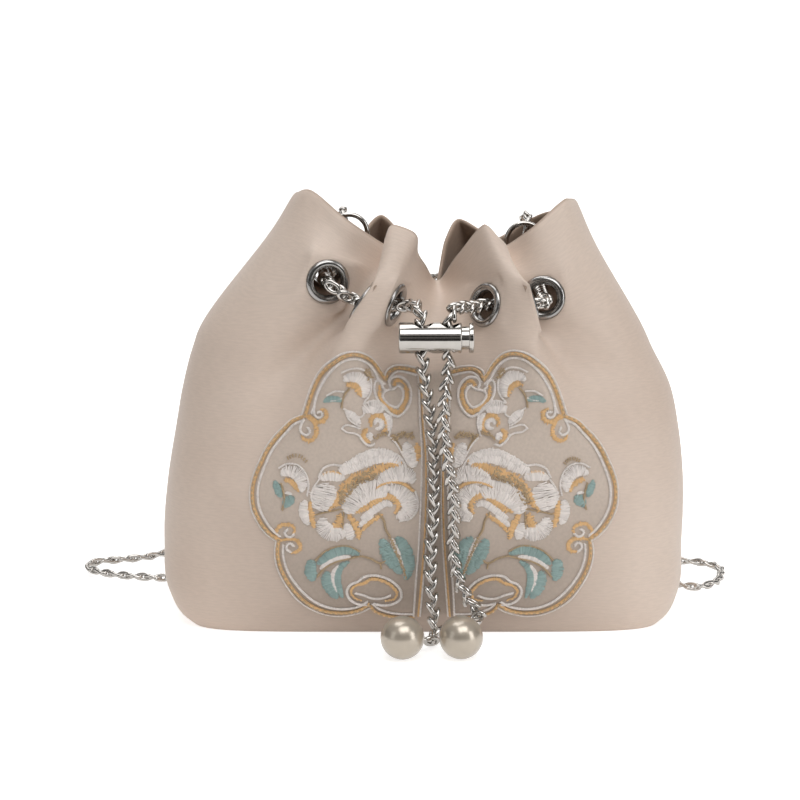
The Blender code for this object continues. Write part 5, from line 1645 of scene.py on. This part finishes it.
def cut(obj, pile, smooth=True):
    """Take the shells of a pile away from an object, and smooth all but its edges."""
    cutter = pile.make("cutter", None, smooth)
    modifier = obj.modifiers.new("cut", "BOOLEAN")
    modifier.operation = "DIFFERENCE"
    modifier.solver = "EXACT"
    modifier.object = cutter
    apply_modifiers(obj)
    bpy.data.objects.remove(cutter)
    obj.data.shade_smooth()
    obj.data.set_sharp_from_angle(angle=SHARP_ANGLE)


def make_lock_pieces(silver):
    """The cord lock's barrel and plunger."""
    place = Matrix.Translation((LOCK_LEFT, LOCK_Y, LOCK_Z)) @ Matrix.Rotation(QUARTER_TURN, 4, "Y")
    bore = LOCK_RADIUS - LOCK_WALL
    length = LOCK_BARREL_LENGTH
    profile = [
        (0.0, LOCK_WALL),
        (bore, LOCK_WALL),
        (bore, length - LOCK_LIP_DEPTH),
        (bore + LOCK_LIP, length),
        *rounded(LOCK_RADIUS, 0, length, LOCK_EDGE, 5),
        (0.0, 0.0),
    ]
    shape = placed(turned_solid(profile, LOCK_SIDES), place)
    barrel = new_mesh_object("cord_lock_barrel", *shape, silver)
    holes = Pile()
    rod = [(0.0, LOCK_CUT), (LOCK_HOLE_RADIUS, LOCK_CUT), (LOCK_HOLE_RADIUS, -LOCK_CUT), (0.0, -LOCK_CUT)]
    for x in LOCK_HOLE_PLACES:
        holes.add(*placed(turned_solid(rod, LOCK_HOLE_SIDES), Matrix.Translation((x, LOCK_Y, LOCK_Z))))
    cut(barrel, holes)
    left = LOCK_WALL + LOCK_SPRING_ROOM
    neck_end = length + PLUNGER_NECK
    top = neck_end + PLUNGER_CAP
    profile = [
        (0.0, top),
        *rounded(PLUNGER_CAP_RADIUS, neck_end, top, PLUNGER_EDGE, 4),
        (bore - GAP, neck_end),
        (bore - GAP, left),
        (0.0, left),
    ]
    shape = placed(turned_solid(profile, LOCK_SIDES), place)
    plunger = new_mesh_object("cord_lock_plunger", *shape, silver)
    slots = Pile()
    clear = STRING_RADIUS + PLUNGER_SLOT_CLEARANCE
    for x in LOCK_STRING_PLACES:
        half = np.array([clear + LOCK_TRAVEL / 2, clear, 1.5 * LOCK_RADIUS])
        middle = np.array([x + LOCK_TRAVEL / 2, LOCK_Y, LOCK_Z])
        slots.add(np.array(BOX_CORNERS) * half + middle, BOX_FACES)
    cut(plunger, slots, smooth=False)
    return barrel, plunger


def make_pearl_pieces(side, chain_end, pearl_material, silver):
    """A pearl, and the eye and jump ring that hold it to the chain."""
    middle = Vector((*PEARL_PLACES[side], PEARL_RADIUS + PEARL_FLOOR_GAP))
    towards = (Vector(chain_end) * MM - middle).normalized()
    upright = frame_matrix(middle, towards, (0, 0, 1))
    angles = [math.pi * step / PEARL_STEPS for step in range(PEARL_STEPS + 1)]
    profile = [(PEARL_RADIUS * math.sin(angle), PEARL_RADIUS * math.cos(angle)) for angle in angles]
    profile[0] = (0.0, PEARL_RADIUS * (1 - PEARL_DIMPLE))
    profile[1] = (PEARL_DIMPLE_RADIUS, PEARL_RADIUS * (1 - 0.3 * PEARL_DIMPLE))
    profile[-1] = (0.0, -PEARL_RADIUS)
    ball = placed(turned_solid(profile, PEARL_SIDES), upright)
    pearl = new_mesh_object(f"pearl_bead_{side}", *ball, pearl_material)
    eye_height = PEARL_RADIUS + PEARL_EYE_RADIUS + PEARL_WIRE + GAP
    eye = upright @ Matrix.Translation((0, 0, eye_height)) @ Matrix.Rotation(QUARTER_TURN, 4, "X")
    pile = Pile()
    pile.add(*placed(wire_ring(PEARL_EYE_RADIUS, 32, PEARL_WIRE, 12), eye))
    peg = [(radius * MM, PEARL_RADIUS + height * MM) for radius, height in PEARL_PEG]
    pile.add(*placed(turned_solid(peg, 32), upright))
    fitting = pile.make(f"pearl_fitting_{side}", silver)
    ring_height = eye_height + PEARL_EYE_RADIUS + PEARL_RING_RADIUS - 2 * PEARL_WIRE - GAP
    jump = upright @ Matrix.Translation((0, 0, ring_height)) @ Matrix.Rotation(QUARTER_TURN, 4, "Y")
    ring = placed(wire_ring(PEARL_RING_RADIUS, 32, PEARL_WIRE, 12), jump)
    return pearl, fitting, new_mesh_object(f"jump_ring_{side}", *ring, silver)


def tab_anchor(side, surface):
    """Where a tab ends, beside the wall's inner face at the neck's left or right side."""
    right = surface.kinds.index("side")
    wall = surface.neck[right if side == "right" else surface.kinds.index("side", right + 1)]
    inwards = -math.copysign(BODY_WALL + TAB_WALL_CLEARANCE[side], wall[0])
    return Vector((wall[0] + inwards, TAB_Y, wall[2]))


def make_ring_pieces(side, chain_end, surface, silver, tab_cloth):
    """A ring inside the mouth, its folded cloth tab and the strap's first link."""
    middle = Vector(RING_PLACES[side])
    shape = placed(wire_ring(RING_RADIUS, 64, RING_WIRE, 16), frame_matrix(middle, (0, -1, 0), (1, 0, 0)))
    ring = new_mesh_object(f"mouth_ring_{side}", *shape, silver)
    anchor = tab_anchor(side, surface)
    out = Vector((anchor.x - middle.x, 0, anchor.z - middle.z)).normalized()
    tab = make_tab_piece(f"folded_tab_{side}", middle + out * RING_RADIUS, anchor, tab_cloth)
    towards = (Vector(chain_end) * MM - middle).normalized()
    link_middle = middle + towards * (RING_RADIUS + END_LINK_RADIUS - RING_WIRE - 2 * END_LINK_WIRE)
    matrix = frame_matrix(link_middle, Vector((0, -1, 0)).cross(towards), towards)
    shape = placed(wire_ring(END_LINK_RADIUS, 40, END_LINK_WIRE, 12), matrix)
    return ring, tab, new_mesh_object(f"strap_first_link_{side}", *shape, silver)


def make_tab_piece(name, hold, anchor, material):
    """Cloth folded round a ring's wire with its two layers sewn together."""
    away = (anchor - hold).normalized()
    along_wire = Vector((0, -1, 0)).cross(away).normalized()
    bow = RING_RADIUS - math.sqrt(RING_RADIUS**2 - (TAB_WIDTH / 2) ** 2)
    inner = RING_WIRE + GAP + bow
    outer = inner + TAB_LAYER
    start = math.acos(min(1.0, TAB_LAYER / outer))
    bend = (FULL_TURN - 2 * start) / TAB_BEND_STEPS
    angles = [start + bend * step for step in range(TAB_BEND_STEPS + 1)]
    outline = [(outer * math.cos(angle), outer * math.sin(angle)) for angle in angles]
    reach = (anchor - hold).length
    first, last = outline[0][0], outline[-1][0]
    shares = [step / TAB_SIDE_STEPS for step in range(TAB_SIDE_STEPS + 1)]
    outline += [(last + (reach - last) * share, -TAB_LAYER) for share in shares[1:]]
    outline += [(reach + (first - reach) * share, TAB_LAYER) for share in shares[:-1]]
    angles = [FULL_TURN * step / TAB_BEND_STEPS for step in range(TAB_BEND_STEPS)]
    hole = [(inner * math.cos(angle), -inner * math.sin(angle)) for angle in angles]
    curve = bpy.data.curves.new(name, "CURVE")
    curve.dimensions = "2D"
    curve.fill_mode = "BOTH"
    curve.extrude = TAB_WIDTH / 2 - TAB_EDGE
    curve.bevel_depth = TAB_EDGE
    curve.offset = -TAB_EDGE
    curve.bevel_resolution = 2
    for loop in (outline, hole):
        spline = curve.splines.new("POLY")
        spline.points.add(len(loop) - 1)
        spline.points.foreach_set("co", [value for x, y in loop for value in (x, y, 0.0, 1.0)])
        spline.use_cyclic_u = True
    helper = new_object(name + "_outline", curve)
    graph = bpy.context.evaluated_depsgraph_get()
    mesh = bpy.data.meshes.new_from_object(helper.evaluated_get(graph), depsgraph=graph)
    bpy.data.objects.remove(helper)
    rotation = Matrix((away, along_wire.cross(away), along_wire)).transposed().to_4x4()
    mesh.transform(Matrix.Translation(hold) @ rotation)
    mesh.materials.clear()
    mesh.materials.append(material)
    return new_object(name, mesh)


class BAG_OT_satin_body(bpy.types.Operator):
    """Build the satin body with its folds, rim and eyelet holes"""

    bl_idname = "bag.satin_body"
    bl_label = "Satin Body"

    def execute(self, context):
        body = make_cloth_body(context.scene.bag_cloth)
        finish_piece(body, "bag", ["bag_body"])
        return {"FINISHED"}


class BAG_OT_embroidery(bpy.types.Operator):
    """Stitch the border, flowers and leaves on the front"""

    bl_idname = "bag.embroidery"
    bl_label = "Embroidery"

    def execute(self, context):
        threads = context.scene.bag_threads
        body = bpy.data.objects["satin_body"]
        lines = ThreadLines(BVHTree.FromObject(body, context.evaluated_depsgraph_get()), threads)
        for row, colour, lay, half, numbers in ORNAMENT:
            left = np.reshape(numbers, (-1, 2)) * MM
            right = left * (-1, 1) + (2 * ORNAMENT_MIDDLE, 0)
            for line in (left, right):
                lines.band(colour, lay, half * MM, line)
                if row in DASHED_ROWS:
                    lines.band("taupe", "dashes", DASH_HALF, line)
        for obj in lines.make(threads):
            finish_piece(obj, "bag")
        return {"FINISHED"}


class BAG_OT_eyelets(bpy.types.Operator):
    """Set a turned eyelet in each hole"""

    bl_idname = "bag.eyelets"
    bl_label = "Eyelets"

    def execute(self, context):
        metal = context.scene.bag_metal
        steel = get_material("steel", make_metal, "steel", metal.steel, 0.14, 0.28)
        names = sorted(name for name in frame["nodes"] if name.startswith("eyelet_"))
        finish_piece(make_eyelet_piece(steel), "bag", names)
        return {"FINISHED"}


class BAG_OT_drawstring(bpy.types.Operator):
    """Lay the drawstring's links through the eyelets and the lock"""

    bl_idname = "bag.drawstring"
    bl_label = "Drawstring"

    def execute(self, context):
        metal = context.scene.bag_metal
        rolls = (STRING_LINK_ROLL, STRING_LINK_ROLL + math.pi)
        link = foxtail_link(metal.string_wire)
        silver = get_silver(metal)
        pitch = metal.string_link_pitch
        chain = make_chain("drawstring_chain", DRAWSTRING_ROUTE, pitch, face_front, rolls, link, silver)
        finish_piece(chain, "bag", ["drawstring"])
        return {"FINISHED"}


class BAG_OT_shoulder_strap(bpy.types.Operator):
    """Lay the strap's links from ring to ring"""

    bl_idname = "bag.shoulder_strap"
    bl_label = "Shoulder Strap"

    def execute(self, context):
        metal = context.scene.bag_metal
        rolls = (STRAP_LINK_ROLL, STRAP_LINK_ROLL + QUARTER_TURN)
        link = curb_link(metal.strap_wire)
        silver = get_silver(metal)
        pitch = metal.strap_link_pitch
        chain = make_chain("strap_chain", STRAP_ROUTE, pitch, face_up, rolls, link, silver)
        finish_piece(chain, "bag", ["shoulder_strap"])
        return {"FINISHED"}


class BAG_OT_cord_lock(bpy.types.Operator):
    """Turn the cord lock's barrel and plunger"""

    bl_idname = "bag.cord_lock"
    bl_label = "Cord Lock"

    def execute(self, context):
        silver = get_silver(context.scene.bag_metal)
        barrel, plunger = make_lock_pieces(silver)
        finish_piece(barrel, "bag", ["lock_barrel"])
        finish_piece(plunger, "plunger", ["lock_plunger"])
        return {"FINISHED"}


class BAG_OT_pearls(bpy.types.Operator):
    """Make the two pearls and their fittings"""

    bl_idname = "bag.pearls"
    bl_label = "Pearls"

    def execute(self, context):
        metal = context.scene.bag_metal
        silver = get_silver(metal)
        cream = get_material("cream_pearl", make_pearl_material, metal)
        for side, end in (("left", 0), ("right", -1)):
            pearl, eye, ring = make_pearl_pieces(side, DRAWSTRING_ROUTE[end], cream, silver)
            finish_piece(pearl, "bag", [f"pearl_{side}"])
            finish_piece(eye, "bag", [f"pearl_{side}_eye"])
            finish_piece(ring, "bag", [f"pearl_{side}_jump_ring"])
        return {"FINISHED"}


class BAG_OT_rings(bpy.types.Operator):
    """Make the rings inside the mouth, their tabs and the strap's first links"""

    bl_idname = "bag.rings"
    bl_label = "Rings"

    def execute(self, context):
        silver = get_silver(context.scene.bag_metal)
        tab_cloth = get_material("tab_weave", make_tab_material, context.scene.bag_cloth)
        surface = BodySurface()
        for side, end in (("left", 0), ("right", -1)):
            ring, tab, link = make_ring_pieces(side, STRAP_ROUTE[end], surface, silver, tab_cloth)
            finish_piece(ring, "bag", [f"ring_{side}"])
            finish_piece(tab, "bag", [f"ring_tab_{side}"])
            finish_piece(link, "bag", [f"strap_end_link_{side}"])
        return {"FINISHED"}


class BAG_OT_stage(bpy.types.Operator):
    """Make the floor, the backdrop, the lights and the camera"""

    bl_idname = "bag.stage"
    bl_label = "Stage"

    def execute(self, context):
        make_stage(context.scene.bag_stage)
        return {"FINISHED"}


def make_studio_air(stage):
    """The studio round the bag: bright overhead, with dark bands that give the metal its contrast."""
    world = bpy.data.worlds.new("studio")
    world.use_nodes = True
    tree = world.node_tree
    direction = add_node(tree, "ShaderNodeTexCoord").outputs["Generated"]
    split = add_node(tree, "ShaderNodeSeparateXYZ", {0: direction})
    height = add_node(tree, "ShaderNodeMapRange", {"From Min": -1.0, "Value": split.outputs["Z"]})
    bands = add_node(tree, "ShaderNodeValToRGB", {"Fac": height.outputs["Result"]})
    elements = bands.color_ramp.elements
    while len(elements) < len(STUDIO_BANDS):
        elements.new(0.5)
    for element, (place, value) in zip(elements, STUDIO_BANDS):
        element.position = place
        element.color = (*(value * tint for tint in STUDIO_TINT), 1.0)
    seen = add_node(tree, "ShaderNodeLightPath").outputs["Is Camera Ray"]
    colour = mix_colours(tree, seen, bands.outputs["Color"], BACKDROP)
    set_inputs(tree, tree.nodes["Background"], {"Color": colour, "Strength": stage.air})
    bpy.context.scene.world = world
    bpy.context.scene.view_settings.view_transform = "Standard"


def make_floor(stage):
    """A pale floor that curves up behind."""
    material, tree, shader = plain_material("studio_floor", stage.floor, 0.85)
    seen = add_node(tree, "ShaderNodeLightPath").outputs["Is Camera Ray"]
    limits = {"Value": seen, "To Min": stage.floor_bounce, "To Max": stage.floor_glow}
    glow = add_node(tree, "ShaderNodeMapRange", limits).outputs["Result"]
    set_inputs(tree, shader, {"Emission Color": (*WHITE, 1.0), "Emission Strength": glow})
    profile = [(FLOOR_FRONT, 0.0), (FLOOR_BACK, 0.0)]
    for step in range(1, FLOOR_STEPS + 1):
        angle = QUARTER_TURN * step / FLOOR_STEPS
        profile.append((FLOOR_BACK + FLOOR_CURVE * math.sin(angle), FLOOR_CURVE * (1 - math.cos(angle))))
    profile.append((FLOOR_BACK + FLOOR_CURVE, FLOOR_TOP))
    points = [(x, y, z) for y, z in profile for x in (-FLOOR_HALF_WIDTH, FLOOR_HALF_WIDTH)]
    faces = [(2 * i, 2 * i + 1, 2 * i + 3, 2 * i + 2) for i in range(len(profile) - 1)]
    return new_mesh_object("studio_floor", points, faces, material)


def make_stage(stage):
    """The floor, soft studio lights and the camera."""
    floor = make_floor(stage)
    for name, place, aim, size, power in LAMPS:
        light = bpy.data.lights.new(name, "AREA")
        light.shape = "RECTANGLE"
        light.size, light.size_y = size
        light.energy = power * stage.light
        lamp = new_object(name, light)
        lamp.location = place
        lamp.rotation_euler = (Vector(aim) - Vector(place)).to_track_quat("-Z", "Y").to_euler()
    make_studio_air(stage)
    data = bpy.data.cameras.new("camera")
    data.lens = stage.camera_lens
    data.clip_start = CLIP_START
    camera = new_object("camera", data)
    camera.location = stage.camera_place
    camera.rotation_euler = (QUARTER_TURN - stage.camera_tilt, 0, 0)
    bpy.context.scene.camera = camera


STEPS = (
    BAG_OT_satin_body,
    BAG_OT_embroidery,
    BAG_OT_eyelets,
    BAG_OT_drawstring,
    BAG_OT_shoulder_strap,
    BAG_OT_cord_lock,
    BAG_OT_pearls,
    BAG_OT_rings,
    BAG_OT_stage,
)


PROPERTY_GROUPS = {
    "bag_cloth": (ClothProps, "Cloth"),
    "bag_threads": (ThreadProps, "Embroidery"),
    "bag_metal": (MetalProps, "Metal and Pearls"),
    "bag_stage": (StageProps, "Stage"),
}


class BAG_PT_sidebar(bpy.types.Panel):
    """Lists the sizes, colours and steps"""

    bl_idname = "BAG_PT_sidebar"
    bl_label = "Drawstring Bag"
    bl_space_type = "VIEW_3D"
    bl_region_type = "UI"
    bl_category = "Drawstring Bag"

    def draw(self, context):
        layout = self.layout
        for title, group in PROPERTY_GROUPS.items():
            box = layout.box()
            box.label(text=group[1])
            values = getattr(context.scene, title)
            for name in values.__annotations__:
                box.prop(values, name)
        for step in STEPS:
            layout.operator(step.bl_idname)


def register():
    """Register the classes and the scene's settings."""
    for name, (group, _) in PROPERTY_GROUPS.items():
        bpy.utils.register_class(group)
        setattr(bpy.types.Scene, name, PointerProperty(type=group))
    for step in STEPS:
        bpy.utils.register_class(step)
    bpy.utils.register_class(BAG_PT_sidebar)


def unregister():
    """Take back what register did."""
    bpy.utils.unregister_class(BAG_PT_sidebar)
    for step in reversed(STEPS):
        bpy.utils.unregister_class(step)
    for name, (group, _) in PROPERTY_GROUPS.items():
        delattr(bpy.types.Scene, name)
        bpy.utils.unregister_class(group)


def clear_startup():
    """Remove the startup file's cube, lamp and camera."""
    for obj in list(bpy.context.scene.objects):
        if obj.type in ("CAMERA", "LIGHT") or obj.name == "Cube":
            bpy.data.objects.remove(obj)


def main():
    """Build every piece in order."""
    register()
    clear_startup()
    for step in STEPS:
        group, name = step.bl_idname.split(".")
        getattr(getattr(bpy.ops, group), name)()


if __name__ == "__main__":
    main()
